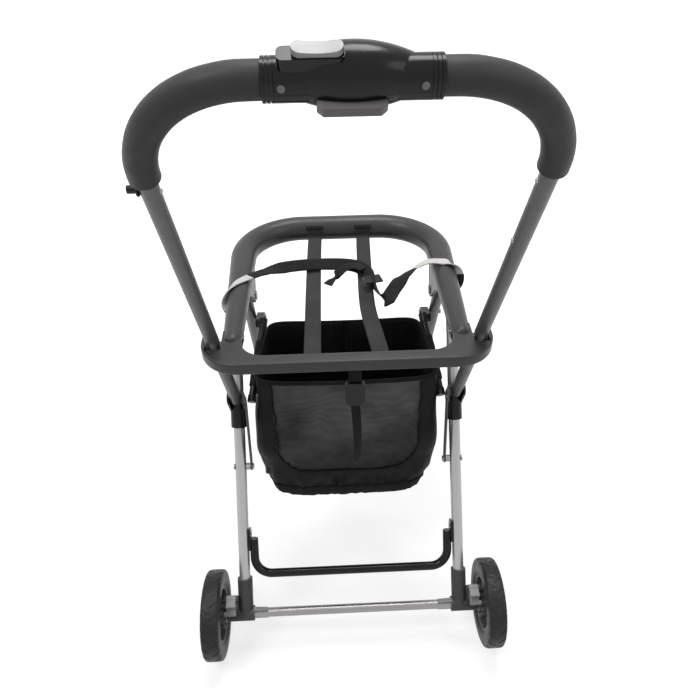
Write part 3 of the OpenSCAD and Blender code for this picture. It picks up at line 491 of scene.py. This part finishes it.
def thumb_button():
    """Slide button with a hollow for the thumb, and a stem drawn in to clear the eased rim of its slot."""
    node = "slide_button"
    bm = own_copy(node)
    round_off(bm, sharp_edges(bm), BUTTON_ROUND, 4)
    bmesh.ops.transform(bm, matrix=ARM_FRAME.inverted(), verts=bm.verts)
    first, last = min(v.co.x for v in bm.verts), max(v.co.x for v in bm.verts)
    top = max(v.co.z for v in bm.verts)
    middle = (first + last) / 2
    for i in range(1, BUTTON_CUTS):
        here = first + (last - first) * i / BUTTON_CUTS
        bmesh.ops.bisect_plane(bm, geom=bm.verts[:] + bm.edges[:] + bm.faces[:], dist=1e-4,
                               plane_co=(here, 0, 0), plane_no=(1, 0, 0))
    for v in bm.verts:
        share = (2 * v.co.x - first - last) / (last - first)
        v.co.z -= HOLLOW * (1 - share * share) * max(0.0, 1 - (top - v.co.z) / HOLLOW_REACH)
    for v in bm.verts:
        off_x, off_y = v.co.x - middle, v.co.y - PAD_Y
        if v.co.z < top - STEM_BELOW and abs(off_x) < STEM_HALF_X and abs(off_y) < STEM_HALF_Y:
            v.co.x = middle + off_x * STEM_SHARE_X
            v.co.y = PAD_Y + off_y * STEM_SHARE_Y
    bmesh.ops.transform(bm, matrix=ARM_FRAME, verts=bm.verts)
    return piece("thumb_button", bm, BODIES[node], BUTTON_GREY, [node], keep=35)


def grown(bm, ring, matrix):
    """Extrudes a ring of edges and moves the new ring by a matrix; returns the new ring."""
    made = bmesh.ops.extrude_edge_only(bm, edges=ring)["geom"]
    verts = [g for g in made if isinstance(g, bmesh.types.BMVert)]
    fresh = set(verts)
    bmesh.ops.transform(bm, matrix=matrix, verts=verts)
    return [g for g in made if isinstance(g, bmesh.types.BMEdge) and all(v in fresh for v in g.verts)]


def scaled_about(centre, factor):
    return Matrix.Translation(centre) @ Matrix.Scale(factor, 4) @ Matrix.Translation(-centre)


# Tyres, in metres
TREAD_BLOCKS = {"rear": 22, "front": 18}
TREAD_STEPS = 22
TYRE_TURNS = 396
TREAD_REACH = 0.0075
GROOVE_DEPTH = 0.0015
LINE_DEPTH = 0.0009
BEAD_GAP = 0.0001


def tyre(side, end):
    """Tyre with a crowned tread: slanted grooves on both shoulders and two lines along the middle."""
    node, hub = f"{end}_tyre_{side}", f"{end}_hub_{side}"
    low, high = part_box(node)
    hub_low, hub_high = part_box(hub)
    middle = (low + high) / 2
    radius = (high.z - low.z) / 2
    bead = (hub_high.z - hub_low.z) / 2 + BEAD_GAP
    half = (high.x - low.x) / 2
    count = TREAD_BLOCKS[end]
    shoulder = (bead + radius) / 2 - 0.006
    section = [(-half + 0.004, bead), (-half + 0.0008, bead + 0.004), (-half, shoulder)]
    for i in range(TREAD_STEPS + 1):
        t = -1 + 2 * i / TREAD_STEPS
        section.append((half * math.copysign(abs(math.sin(t * math.pi / 2)) ** 0.75, t),
                        radius - (0.5 * (radius - bead)) * abs(t) ** 5 - 0.0012 * t * t))
    section += [(half, shoulder), (half - 0.0008, bead + 0.004), (half - 0.004, bead)]
    bm = bmesh.new()
    turned(bm, [middle + Vector((x, 0, r)) for x, r in section], middle, TYRE_TURNS)
    bmesh.ops.remove_doubles(bm, verts=bm.verts, dist=1e-6)
    for v in bm.verts:
        out = v.co - middle
        reach = math.hypot(out.y, out.z)
        if reach < radius - TREAD_REACH:
            continue
        share = out.x / half
        turn = math.atan2(out.z, out.y) * count / (2 * math.pi)
        phase = (turn + 0.75 * abs(share) ** 1.3 + (0.5 if share > 0 else 0.0)) % 1.0
        groove = max(0.0, 1 - abs(phase - 0.5) / 0.085) if abs(share) > 0.16 else 0.0
        line = max(0.0, 1 - abs(abs(share) - 0.14) / 0.05)
        sink = GROOVE_DEPTH * min(1.0, 1.6 * groove) + LINE_DEPTH * min(1.0, 1.5 * line)
        v.co -= Vector((0, out.y, out.z)) / reach * sink
    bmesh.ops.recalc_face_normals(bm, faces=bm.faces)
    return piece(f"{end}_tread_{side}", bm, BODIES[node], RUBBER, [node], keep=60)


# Push arms: rivets and foam grips, in millimetres along the arm frame
RIVETS = (("left_high", "left", 332), ("right_high", "right", 332), ("right_low", "right", 236))
RIVET_PROFILE = ((-1.9, 0, 0), (-1.7, 0, 1.2), (-1.1, 0, 2.3), (0, 0, 2.9), (0.8, 0, 2.9))
FOAM_ROUND = 2.4
FOAM_END = ((0.2, 11.0), (-0.2, FOAM_R - 2.6), (0.3, FOAM_R - 1.2), (1.1, FOAM_R - 0.3), (FOAM_ROUND, FOAM_R))


def arm_rivets():
    """Small domed rivets on the inner faces of the push arms."""
    for name, side, height in RIVETS:
        bm = bmesh.new()
        turned(bm, RIVET_PROFILE, (0, 0, 0), 24)
        bmesh.ops.remove_doubles(bm, verts=bm.verts, dist=0.001)
        bmesh.ops.translate(bm, vec=(ARM_X - ARM_R, 0, height), verts=bm.verts)
        on_side(bm, side)
        bmesh.ops.transform(bm, matrix=ARM_FRAME, verts=bm.verts)
        piece(f"arm_rivet_{name}", bm, "push_handle", RIVET_STEEL)


def foam_sleeve(side):
    """Foam grip from its rounded lower end up the arm, round the bend and in to the collar."""
    bm = bmesh.new()
    ring = bmesh.ops.create_circle(bm, cap_ends=False, radius=FOAM_BORE, segments=48)["verts"]
    bmesh.ops.translate(bm, vec=(ARM_X, 0, FOAM_FROM + 1.5), verts=ring)
    edges = list(bm.edges)
    size = FOAM_BORE
    for rise, wide in FOAM_END:
        here = Vector((ARM_X, 0, FOAM_FROM + rise))
        level = sum((v.co.z for e in edges for v in e.verts), 0.0) / (2 * len(edges))
        widen = scaled_about(Vector((ARM_X, 0, level)), wide / size)
        edges = grown(bm, edges, Matrix.Translation((0, 0, here.z - level)) @ widen)
        size = wide
    bend_z = ARM_LENGTH - HANDLE_BEND
    edges = grown(bm, edges, Matrix.Translation((0, 0, bend_z - FOAM_FROM - FOAM_ROUND)))
    swept = bmesh.ops.spin(bm, geom=edges, cent=(ARM_X - HANDLE_BEND, 0, bend_z), axis=(0, -1, 0),
                           angle=math.pi / 2, steps=26, use_merge=False)["geom_last"]
    edges = [g for g in swept if isinstance(g, bmesh.types.BMEdge)]
    edges = grown(bm, edges, Matrix.Translation((-(ARM_X - HANDLE_BEND - FOAM_IN), 0, 0)))
    grown(bm, edges, scaled_about(Vector((FOAM_IN, 0, ARM_LENGTH)), FOAM_BORE / FOAM_R))
    bmesh.ops.remove_doubles(bm, verts=bm.verts, dist=0.001)
    for v in bm.verts:
        v.co += v.co.normalized() * 0.25 * noise.noise(v.co * 0.06)
    on_side(bm, side)
    bmesh.ops.transform(bm, matrix=ARM_FRAME, verts=bm.verts)
    sleeve = piece(f"foam_sleeve_{side}", bm, "push_handle", FOAM, [f"foam_grip_{side}"], keep=70)


# Straps, in millimetres from the rear axle and the floor
ROUTE_FINENESS = 16
STRAP_XS = {"left": (-45, -45, -45, -45, -46, -47.5, -48.5, -49, -49.5, -49.5),
            "right": (41, 41, 41, 40.5, 39, 36, 34.5, 40, 45.5, 47)}
STRAP_RUN = ((411.7, 619.2), (409.8, 612), (410.4, 605), (405, 602.6), (370, 602.2), (280, 601.4),
             (190, 600.6), (125, 600), (72, 599.7), (44, 599.6))
SLOT_Y, SLOT_Z = 412.2, 621
SLOT_LEAN = math.radians(58)
SLOT_SIZE = Vector((31, 7.5, 3.4))
RAIL_END_R = 15.2
RAIL_END_STEPS = ((-16, RAIL_END_R), (-5, 14.4), (-3.5, 12.6), (-2, 9.6), (-0.8, 5))
RAIL_END_FLAT = 0.86
STRAP_LIFT = 1.5
STRAP_ON_LEFT = ((-62, 192), (-30, 195), (2, 200), (34, 206), (62, 214), (92, 224))
STRAP_ON_RIGHT = ((104, 265), (74, 261), (44, 256), (14, 250), (-18, 245), (-52, 241))
STRAP_LOOSE = ((-147, 244, 625), (-129, 266, 619), (-91, 290, 614), (-47, 300, 611.5), (0, 298, 611),
               (28, 286, 611.5), (43, 256, 612.5), (50, 222, 613.5), (56, 194, 614), (63, 184, 614),
               (70, 197, 614.5), (82, 222, 615), (98, 245, 618), (120, 262, 624), (138, 268, 629))
STRAP_FOLD = 9
FOLD_REACH = 75
STRAP_TAIL = ((33, 272, 616), (20, 283, 616.5), (4, 280, 615), (-10, 264, 612.5), (-25, 240, 609))
SLIDER_SIZE = Vector((20, 28, 3))
SLIDER_PLACE = (46, 240, 616.5)
SLIDER_TURN = math.radians(-76)
TAIL_LEAN = ((-0.3, 1, 0), (-0.1, 1, 0.1), (0.3, 1, 0.25), (0.8, 0.8, 0.2), (0.8, 0.7, 0.1))


def smooth_route(points, count):
    """Evenly spread points on a smooth curve through the given ones, and the length of the curve."""
    dense = []
    for i in range(len(points) - 1):
        a, b = points[max(i - 1, 0)], points[i]
        c, d = points[i + 1], points[min(i + 2, len(points) - 1)]
        for k in range(ROUTE_FINENESS):
            t = k / ROUTE_FINENESS
            dense.append(0.5 * ((2 * b) + (c - a) * t + (2 * a - 5 * b + 4 * c - d) * t * t
                                + (3 * b - a - 3 * c + d) * t ** 3))
    dense.append(points[-1])
    reach = [0.0]
    for p, q in zip(dense, dense[1:]):
        reach.append(reach[-1] + (q - p).length)
    route, j = [], 0
    for i in range(count + 1):
        want = reach[-1] * i / count
        while j < len(reach) - 2 and reach[j + 1] < want:
            j += 1
        span = reach[j + 1] - reach[j]
        route.append(dense[j].lerp(dense[j + 1], (want - reach[j]) / span if span else 0.0))
    return route, reach[-1]


def webbing(name, points, sides, width, body, paint, nodes=(), steps=90, wall=0.0017,
            cream=(), narrow=()):
    """Flat strap along points; sides gives its crosswise direction at each of them.

    cream lists the stretches of the second colour, narrow the places, reaches and depths of its pinches."""
    route, length = smooth_route(points, steps)
    lean, _ = smooth_route(sides, steps)
    bm = mapped_grid(steps, 6, length, width)
    for face in bm.faces:
        middle = face.calc_center_median().x + 0.5
        face.material_index = 1 if any(a < middle < b for a, b in cream) else 0
    for v in bm.verts:
        share = v.co.x + 0.5
        at = share * steps
        i = min(int(at), steps - 1)
        centre = route[i].lerp(route[i + 1], at - i)
        along = route[i + 1] - route[i]
        cross = lean[i].lerp(lean[i + 1], at - i)
        cross = (cross - along * (cross.dot(along) / along.length_squared)).normalized()
        pinches = [1 - by * math.exp(-((share - here) / spread) ** 2) for here, spread, by in narrow]
        v.co = centre + cross * (v.co.y * width * min([1.0] + pinches))
    strap = piece(name, bm, body, [paint, STRAP_CREAM] if cream else paint, nodes, keep=80)
    return thicken(strap, wall, 0.0), length


def ring_strap(side):
    """Lengthwise strap; the right one is pulled aside by the safety strap that crosses it."""
    points = [spot(x, y, z) for x, (y, z) in zip(STRAP_XS[side], STRAP_RUN)]
    cross = [Vector((1, 0, 0.02 * math.sin(2.1 * i))) for i in range(len(points))]
    strap, length = webbing(f"seat_strap_{side}", points, cross, 0.024, "seat_ring", STRAP_GREY,
                            [f"ring_strap_{side}"])


def strap_slot(side):
    """Raised lip of the slot in the front bar from which a lengthwise strap comes."""
    bm = bmesh.new()
    bmesh.ops.create_cube(bm, size=1.0)
    bmesh.ops.scale(bm, vec=SLOT_SIZE * MM, verts=bm.verts)
    round_off(bm, bm.edges[:], 1.4, 3)
    turn = Matrix.Translation(spot(STRAP_XS[side][0], SLOT_Y, SLOT_Z)) @ Matrix.Rotation(SLOT_LEAN, 4, "X")
    bmesh.ops.transform(bm, matrix=turn, verts=bm.verts)
    return piece(f"strap_slot_{side}", bm, "seat_ring", BLACK_PLASTIC)


def rail_end(side):
    """Round end of a side rail where it runs into the rear bar, flatter on its outer side."""
    bm = bmesh.new()
    ring = bmesh.ops.create_circle(bm, cap_ends=False, radius=RAIL_END_R, segments=48)["verts"]
    bmesh.ops.rotate(bm, cent=(0, 0, 0), matrix=Matrix.Rotation(math.pi / 2, 3, "X"), verts=ring)
    edges = bm.edges[:]
    for step, wide in RAIL_END_STEPS:
        size = max(v.co.z for e in edges for v in e.verts)
        here = sum(v.co.y for e in edges for v in e.verts) / (2 * len(edges))
        shrink = scaled_about(Vector((0, here, 0)), wide / size)
        edges = grown(bm, edges, Matrix.Translation((0, step, 0)) @ shrink)
    bmesh.ops.holes_fill(bm, edges=edges, sides=0)
    for v in bm.verts:
        if v.co.x > 0:
            v.co.x *= RAIL_END_FLAT
    bmesh.ops.translate(bm, vec=(RAIL_X, RING_BACK_Y + 0.4, RING_Z), verts=bm.verts)
    on_side(bm, side)
    for v in bm.verts:
        v.co = spot(*v.co)
    return piece(f"rail_end_{side}", bm, "seat_ring", RING_CHARCOAL, keep=35)


def round_rail(side, turn, y):
    """A point of the safety strap on a side rail; turn 0 is the outer side, 90 the top."""
    share = (y - RING_BACK_Y) / (RING_SEAM_Y - RING_BACK_Y)
    reach = RAIL_R + RAIL_SWELL * share + STRAP_LIFT
    a = math.radians(turn)
    x = RAIL_X + RAIL_SPLAY * share + reach * math.cos(a)
    return spot(SIDES[side] * x, y, RING_Z + reach * math.sin(a))


def safety_strap():
    """Safety strap, wound round both side rails and lying loose between them, with its free end."""
    left = [round_rail("left", turn, y) for turn, y in STRAP_ON_LEFT]
    right = [round_rail("right", turn, y) for turn, y in STRAP_ON_RIGHT]
    loose = [spot(*p) for p in STRAP_LOOSE]
    points = left + loose + right
    cross = []
    for i, p in enumerate(points):
        along = points[min(i + 1, len(points) - 1)] - points[max(i - 1, 0)]
        flat = Vector((-along.y, along.x, 0.0)) if abs(along.x) > abs(along.z) * 0.3 else Vector((0.2, 1, 0))
        flat = (flat if flat.y > 0 else -flat).normalized()
        inside = len(left) <= i < len(left) + len(loose)
        fold = max(0.0, 1 - (p - loose[STRAP_FOLD]).length / (FOLD_REACH * MM))
        on_edge = Vector((0.25, 0.35, 1.0))
        cross.append((flat + Vector((0, 0, 0.45))).lerp(on_edge, fold) if inside else flat)
    strap, length = webbing("safety_strap_loose", points, cross, 0.022, "seat_ring", STRAP_BLACK,
                            ["safety_strap"], steps=170,
                            cream=((0.02, 0.15), (0.815, 0.96)),
                            narrow=((0.10, 0.07, 0.5), (0.86, 0.07, 0.35)))
    tail_points = [spot(*p) for p in STRAP_TAIL]
    tail_cross = [Vector(p) for p in TAIL_LEAN]
    tail, tail_length = webbing("safety_strap_end", tail_points, tail_cross, 0.014, "seat_ring", STRAP_BLACK,
                                steps=40)


def strap_slider():
    """Three-bar slider where the safety strap's loose end turns back."""
    bm = bmesh.new()
    bmesh.ops.create_cube(bm, size=1.0)
    bmesh.ops.scale(bm, vec=SLIDER_SIZE * MM, verts=bm.verts)
    top = [f for f in bm.faces if abs(f.normal.z) > 0.9]
    bmesh.ops.inset_region(bm, faces=top, thickness=0.004, depth=-0.0007)
    round_off(bm, bm.edges[:], 0.5, 2)
    turn = Matrix.Translation(spot(*SLIDER_PLACE)) @ Matrix.Rotation(SLIDER_TURN, 4, "Z")
    bmesh.ops.transform(bm, matrix=turn, verts=bm.verts)
    return piece("strap_slider", bm, "seat_ring", BLACK_PLASTIC)


def buckle_strap():
    """Short loop above the hanging buckle and the twisted tail below it."""
    low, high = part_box("buckle_strap")
    x, y = (low.x + high.x) / 2, (low.y + high.y) / 2
    buckle_low, buckle_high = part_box("buckle")
    upper = [Vector((x, y, z)) for z in (high.z, (high.z + buckle_high.z) / 2, buckle_high.z - 0.001)]
    across = [Vector((1, 0, 0))] * 3
    loop, loop_length = webbing("buckle_loop", upper, across, 0.018, "hanging_buckle", STRAP_BLACK,
                                ["buckle_strap"], steps=14)
    drop = buckle_low.z - low.z
    tail = [Vector((x + 0.003 * math.sin(2.2 * t), y - 0.004 * math.sin(3.0 * t) * t,
                    buckle_low.z + 0.001 - drop * t))
            for t in (0, 0.15, 0.3, 0.45, 0.6, 0.75, 0.9, 1.0)]
    twist = [Vector((math.cos(0.7 * i / 7), math.sin(0.7 * i / 7), 0)) for i in range(8)]
    end, end_length = webbing("buckle_tail", tail, twist, 0.013, "hanging_buckle", STRAP_BLACK,
                              steps=40)


# Basket, in millimetres from the rear axle and the floor
FLOOR_Z = 190
FLOOR_ROUND = 34
SEAM_Z = FLOOR_Z + FLOOR_ROUND
WIDEST_Z = 316
RIM_LOW = 480
RIM_HIGH = 504
HEM_DROP = 2
HEM_SLACK = 5
HEM_BESIDE_RAIL = 8.5
BACK_Y, BACK_LEAN = 147, 17
FRONT_Y, FRONT_LEAN = 293, 3
MIDDLE_Y = 224
HALF_WIDTH, FRONT_NARROWING = 143, 6
BELLY = 16
NET_LOW = 278
NET_HIGH = 466
NET_BELOW = 9
NET_HALF = 122
NET_SINK = 1.8
NET_FRONT_Y = 200
NET_CORNER_Z = 335
NET_CORNER = 34
FLOOR_CROWN = 1.5
FOLD_SIZE, CREASE_SIZE, GATHER_SIZE = 3.6, 1.4, 6.5
WALL_HOLLOW = 2.2
SLEEVE_FROM, SLEEVE_STOP = 26, 40
SLEEVE_R, SLEEVE_LOOSE = 8.4, 0.7
BAND_TOP = FLOOR_Z + 40
# Shares of the way from the floor's middle to the hem
FLOOR_SHARE = 0.34
WALL_SHARE = 0.44
SEAM_SHARE = 0.46
SQUARE_FROM = 0.6
CREASED_FROM = 0.3
# How square the bag is in plan, and how much squarer at the hem
SQUARENESS, HEM_SQUARENESS = 4.4, 5


def side_rail_x(y):
    """Distance of a basket rail's middle from the frame's middle plane."""
    share = (y - BASKET_RAIL_BACK.y) / (BASKET_RAIL_FRONT.y - BASKET_RAIL_BACK.y)
    return BASKET_RAIL_BACK.x + (BASKET_RAIL_FRONT.x - BASKET_RAIL_BACK.x) * share


def rim_height(y, x):
    """Height of the hem: along the rails at the sides, a little slack at the front and the back."""
    share = (y - BASKET_RAIL_BACK.y) / (BASKET_RAIL_FRONT.y - BASKET_RAIL_BACK.y)
    slack = HEM_SLACK * (1 - min(1.0, abs(x) / 140) ** 2)
    return RIM_LOW - HEM_DROP + (RIM_HIGH - RIM_LOW) * share - slack


def wall_rise(height):
    """Share of the wall's height, 0 at the floor seam and below it."""
    return max(0.0, (height - WALL_SHARE) / (1 - WALL_SHARE))


def basket_form(angle, height):
    """Point of the bag for a direction round it and a share of the way from the floor's middle to the hem."""
    c, s = math.cos(angle), math.sin(angle)
    power = 2 / (SQUARENESS + HEM_SQUARENESS * max(0.0, (height - SQUARE_FROM) / (1 - SQUARE_FROM)))
    along = math.copysign(abs(c) ** power, c)
    ahead = math.copysign(abs(s) ** power, s)
    rise = wall_rise(height)
    z = SEAM_Z + (RIM_LOW - SEAM_Z) * rise
    over = max(0.0, (z - WIDEST_Z) / (RIM_LOW - WIDEST_Z))
    back = BACK_Y + BACK_LEAN * over ** 1.2
    front = FRONT_Y + FRONT_LEAN * rise
    deep = (front - back) / 2
    wide = HALF_WIDTH - FRONT_NARROWING * ahead
    if height < FLOOR_SHARE:
        share = height / FLOOR_SHARE
        y = (front + back) / 2 + ahead * (deep - FLOOR_ROUND) * share
        return Vector((along * (wide - FLOOR_ROUND) * share, y, FLOOR_Z + FLOOR_CROWN * (1 - share)))
    if height < WALL_SHARE:
        bow = (height - FLOOR_SHARE) / (WALL_SHARE - FLOOR_SHARE) * math.pi / 2
        inset = FLOOR_ROUND * (1 - math.sin(bow))
        y = (front + back) / 2 + ahead * (deep - inset)
        return Vector((along * (wide - inset), y, FLOOR_Z + FLOOR_ROUND * (1 - math.cos(bow))))
    y = (front + back) / 2 + ahead * deep
    belly = wide + BELLY * math.sin(math.pi / 2 * min(1.0, (z - SEAM_Z) / (WIDEST_Z - SEAM_Z)))
    hem_x = side_rail_x(y) - HEM_BESIDE_RAIL
    x = along * (belly + (hem_x - belly) * over ** 1.5)
    return Vector((x, y, SEAM_Z + (rim_height(y, x) - SEAM_Z) * rise))


def cloth_point(angle, height):
    """The bag's point with its creases: soft hollows in the walls, gathers above the floor seam."""
    p = basket_form(angle, height)
    if height < CREASED_FROM:
        return p
    out = Vector((p.x, 1.6 * (p.y - MIDDLE_Y), 0))
    out = out.normalized() if out.length > 1 else Vector((0, 0, 0))
    rise = wall_rise(height)
    folds = noise.noise(Vector((p.x * 0.014, p.y * 0.02, p.z * 0.017))) * FOLD_SIZE
    fine = noise.noise(Vector((p.x * 0.05 + 7, p.y * 0.05, p.z * 0.02))) * CREASE_SIZE
    pleat = noise.noise(Vector((p.x * 0.11, p.y * 0.11, p.z * 0.025 + 5)))
    gather = GATHER_SIZE * pleat * math.exp(-((rise - 0.09) / 0.10) ** 2)
    calm = 1 - max(0.0, (rise - 0.9) / 0.1)
    fade = min(1.0, (height - CREASED_FROM) / 0.12)
    return p + out * (((folds + fine - WALL_HOLLOW) * calm + gather) * fade)


def on_rear_panel(p):
    """Whether a point of the bag is on the net, whose lower corners are round."""
    edge = NET_HALF - NET_CORNER * max(0.0, (NET_CORNER_Z - p.z) / (NET_CORNER_Z - NET_LOW)) ** 2
    return p.y < NET_FRONT_Y and abs(p.x) < edge and NET_LOW < p.z < rim_height(p.y, p.x) - NET_BELOW


def even_turns(count):
    """Directions round the bag, equally far apart along its wall, and the length of the way round."""
    fine = 1440
    turns = [math.pi / 2 + 2 * math.pi * i / fine for i in range(fine + 1)]
    wall = [basket_form(a, 0.75) for a in turns]
    reach = [0.0]
    for a, b in zip(wall, wall[1:]):
        reach.append(reach[-1] + (b - a).length)
    even, j = [], 0
    for i in range(count + 1):
        want = reach[-1] * i / count
        while j < fine - 1 and reach[j + 1] < want:
            j += 1
        share = (want - reach[j]) / (reach[j + 1] - reach[j])
        even.append(turns[j] + (turns[j + 1] - turns[j]) * share)
    return even, reach[-1] * MM


def basket_bag():
    """The sewn bag: black cloth, a net panel at the back and a band round the floor."""
    around, up = 192, 74
    turns, girth = even_turns(around)
    bm = mapped_grid(around, up, girth, 0.5)
    for v in bm.verts:
        p = cloth_point(turns[round((v.co.x + 0.5) * around)], v.co.y + 0.5)
        if on_rear_panel(p):
            p.y += NET_SINK
        v.co = spot(*p)
    bmesh.ops.remove_doubles(bm, verts=bm.verts, dist=1e-6)
    for face in bm.faces:
        p = face.calc_center_median()
        p = Vector((p.x / MM, (p.y - AXLE_Y) / MM, p.z / MM))
        if on_rear_panel(p):
            face.material_index = 1
        elif p.z < BAND_TOP:
            face.material_index = 2
    bmesh.ops.recalc_face_normals(bm, faces=bm.faces)
    # The cloth is thickened inwards, so its faces have to look out
    inner = sum(1 for f in bm.faces if f.normal.z > 0.7 and f.calc_center_median().z < 0.21)
    if inner > 40:
        bmesh.ops.reverse_faces(bm, faces=bm.faces)
    area = sum(f.calc_area() for f in bm.faces)
    cloths = [BASKET_BLACK, BASKET_NET, BASKET_BAND]
    bag = piece("basket_bag", bm, "basket", cloths, ["basket"], keep=80)
    thicken(bag, 0.0016)
    return bag, area


def cord_trim(name, points, radius, paint=PIPING, closed=False):
    """Round piping of the basket along points, made a mesh."""
    line = bpy.data.curves.new(name, "CURVE")
    line.dimensions = "3D"
    line.bevel_depth = radius * MM
    line.bevel_resolution = 3
    line.use_fill_caps = True
    run = line.splines.new("POLY")
    run.points.add(len(points) - 1)
    for spot_on, p in zip(run.points, points):
        spot_on.co = (*p, 1)
    run.use_cyclic_u = closed
    holder = bpy.data.objects.new(name, line)
    scene.collection.objects.link(holder)
    mesh = bpy.data.meshes.new_from_object(holder.evaluated_get(bpy.context.evaluated_depsgraph_get()))
    bpy.data.objects.remove(holder)
    bpy.data.curves.remove(line)
    bm = bmesh.new()
    bm.from_mesh(mesh)
    bpy.data.meshes.remove(mesh)
    bmesh.ops.remove_doubles(bm, verts=bm.verts, dist=1e-6)
    bmesh.ops.recalc_face_normals(bm, faces=bm.faces)
    return piece(name, bm, "basket", paint, keep=60)


def basket_trims():
    """Hem, floor piping, piping round the net and the pale binding on one side."""
    full = even_turns(240)[0][:-1]
    hem = [spot(*cloth_point(a, 1.0)) for a in full]
    seam = [spot(*cloth_point(a, SEAM_SHARE)) for a in full]
    trims = [cord_trim("basket_hem", hem, 2.3, closed=True),
             cord_trim("basket_floor_piping", seam, 1.9, closed=True)]
    back_turns = [a for a in full if math.sin(a) < -0.02]
    hem_z = RIM_LOW - HEM_DROP - HEM_SLACK

    def rear_point(x, z):
        """Point of the bag's back nearest to x and z."""
        best = None
        level = WALL_SHARE + (1 - WALL_SHARE) * (z - SEAM_Z) / (hem_z - SEAM_Z)
        for angle in back_turns:
            for k in range(5):
                p = cloth_point(angle, level + (k - 2) * 0.012)
                miss = (p.x - x) ** 2 + (p.z - z) ** 2
                if best is None or miss < best[0]:
                    best = (miss, p)
        return spot(*(best[1] + Vector((0, -0.6, 0))))

    half = [(-NET_HALF, NET_HIGH - 12 * i) for i in range(11)]
    half += [(-121, 326), (-117, 312), (-109, 298), (-97, 286), (-84, 280)]
    half += [(x, NET_LOW) for x in (-66, -48, -30, -12)]
    path = half + [(-x, z) for x, z in reversed(half)]
    points, _ = smooth_route([rear_point(x, z) for x, z in path], 90)
    trims.append(cord_trim("basket_panel_piping", points, 1.7))
    edge = [spot(*cloth_point(1.13 * math.pi, 0.5 + 0.01 * i)) for i in range(43)]
    trims.append(cord_trim("basket_side_binding", edge, 2.6, BINDING))
    return trims


def rail_sleeve(side):
    """Cloth sleeve of the basket round one rail, a little loose."""
    sign = SIDES[side]
    front = Vector((sign * BASKET_RAIL_FRONT.x, BASKET_RAIL_FRONT.y, BASKET_RAIL_FRONT.z))
    back = Vector((sign * BASKET_RAIL_BACK.x, BASKET_RAIL_BACK.y, BASKET_RAIL_BACK.z))
    line = (front - back).normalized()
    start, end = back + line * SLEEVE_FROM, front - line * SLEEVE_STOP
    bm = mapped_grid(30, 32, 0.08, 0.056)
    across = Vector((1, 0, 0))
    upward = line.cross(across).normalized()
    across = upward.cross(line).normalized()
    for v in bm.verts:
        share = v.co.x + 0.5
        turn = (v.co.y + 0.5) * 2 * math.pi
        centre = start.lerp(end, share)
        slack = noise.noise(Vector((share * 6, math.cos(turn), math.sin(turn) + 4 * sign)))
        loose = SLEEVE_R + SLEEVE_LOOSE * slack
        v.co = spot(*(centre + loose * (across * math.cos(turn) + upward * math.sin(turn))))
    bmesh.ops.remove_doubles(bm, verts=bm.verts, dist=1e-6)
    bmesh.ops.recalc_face_normals(bm, faces=bm.faces)
    return thicken(piece(f"rail_sleeve_{side}", bm, "basket", BASKET_BLACK, keep=80), 0.001)


place_camera()
light_room()
lay_floor()

for end in ("rear", "front"):
    for side in ("left", "right"):
        tyre(side, end)
for side in ("left", "right"):
    foam_sleeve(side)
    ring_strap(side)
    rail_sleeve(side)
    strap_slot(side)
    rail_end(side)
arm_rivets()
safety_strap()
strap_slider()
buckle_strap()
bag, bag_area = basket_bag()
trims = basket_trims()

for side in ("left", "right"):
    coat(f"rear_leg_{side}", LEG_SILVER)
    coat(f"front_leg_{side}", ARM_GREY)
    coat(f"arm_strut_{side}", ARM_GREY)
    coat(f"front_axle_{side}", RIVET_STEEL)
    coat(f"rear_hub_{side}", HUB_GREY)
    coat(f"front_hub_{side}", HUB_GREY)
    axle_socket(side)
    eased(f"hinge_bracket_{side}", BLACK_PLASTIC, 0.8)
    eased(f"brake_pedal_{side}", PEDAL_GREY, 0.9)
    eased(f"caster_socket_{side}", SOCKET_GREY, 0.8)
    eased(f"caster_fork_{side}", SOCKET_GREY, 0.7)
    eased(f"ring_rail_{side}", RING_CHARCOAL, 0.6)
    eased(f"basket_rail_{side}", BLACK_PLASTIC, 0.6)
for node, paint in (("handle_tube", ARM_GREY), ("front_cross_bar", ARM_GREY), ("rear_axle", CHROME),
                    ("basket_links", LINK_GREY), ("lower_bar_rivets", RIVET_STEEL),
                    ("leg_pivot_pins", RIVET_STEEL), ("link_pivots", RIVET_STEEL),
                    ("basket_pivots", RIVET_STEEL), ("ring_screws", RIVET_STEEL),
                    ("arm_pivot_pins", RIVET_STEEL), ("housing_screws", SCREW_GREY),
                    ("arm_lugs", SOCKET_GREY)):
    coat(node, paint)
for node, paint, edge in (("lower_bar", GLOSS_BLACK, 0.5), ("axle_caps", SOCKET_GREY, 0.8),
                          ("ring_front_bar", RING_CHARCOAL, 0.6), ("buckle", BLACK_PLASTIC, 1.6),
                          ("housing_top", HOUSING_BLACK, 1.5), ("housing_bottom", HOUSING_BLACK, 1.0),
                          ("grip_collars", HOUSING_BLACK, 0.7), ("tray_peg", BLACK_PLASTIC, 0.8),
                          ("squeeze_trigger", TRIGGER_GREY, 1.2)):
    eased(node, paint, edge, 3)
rear_bar()
thumb_button()
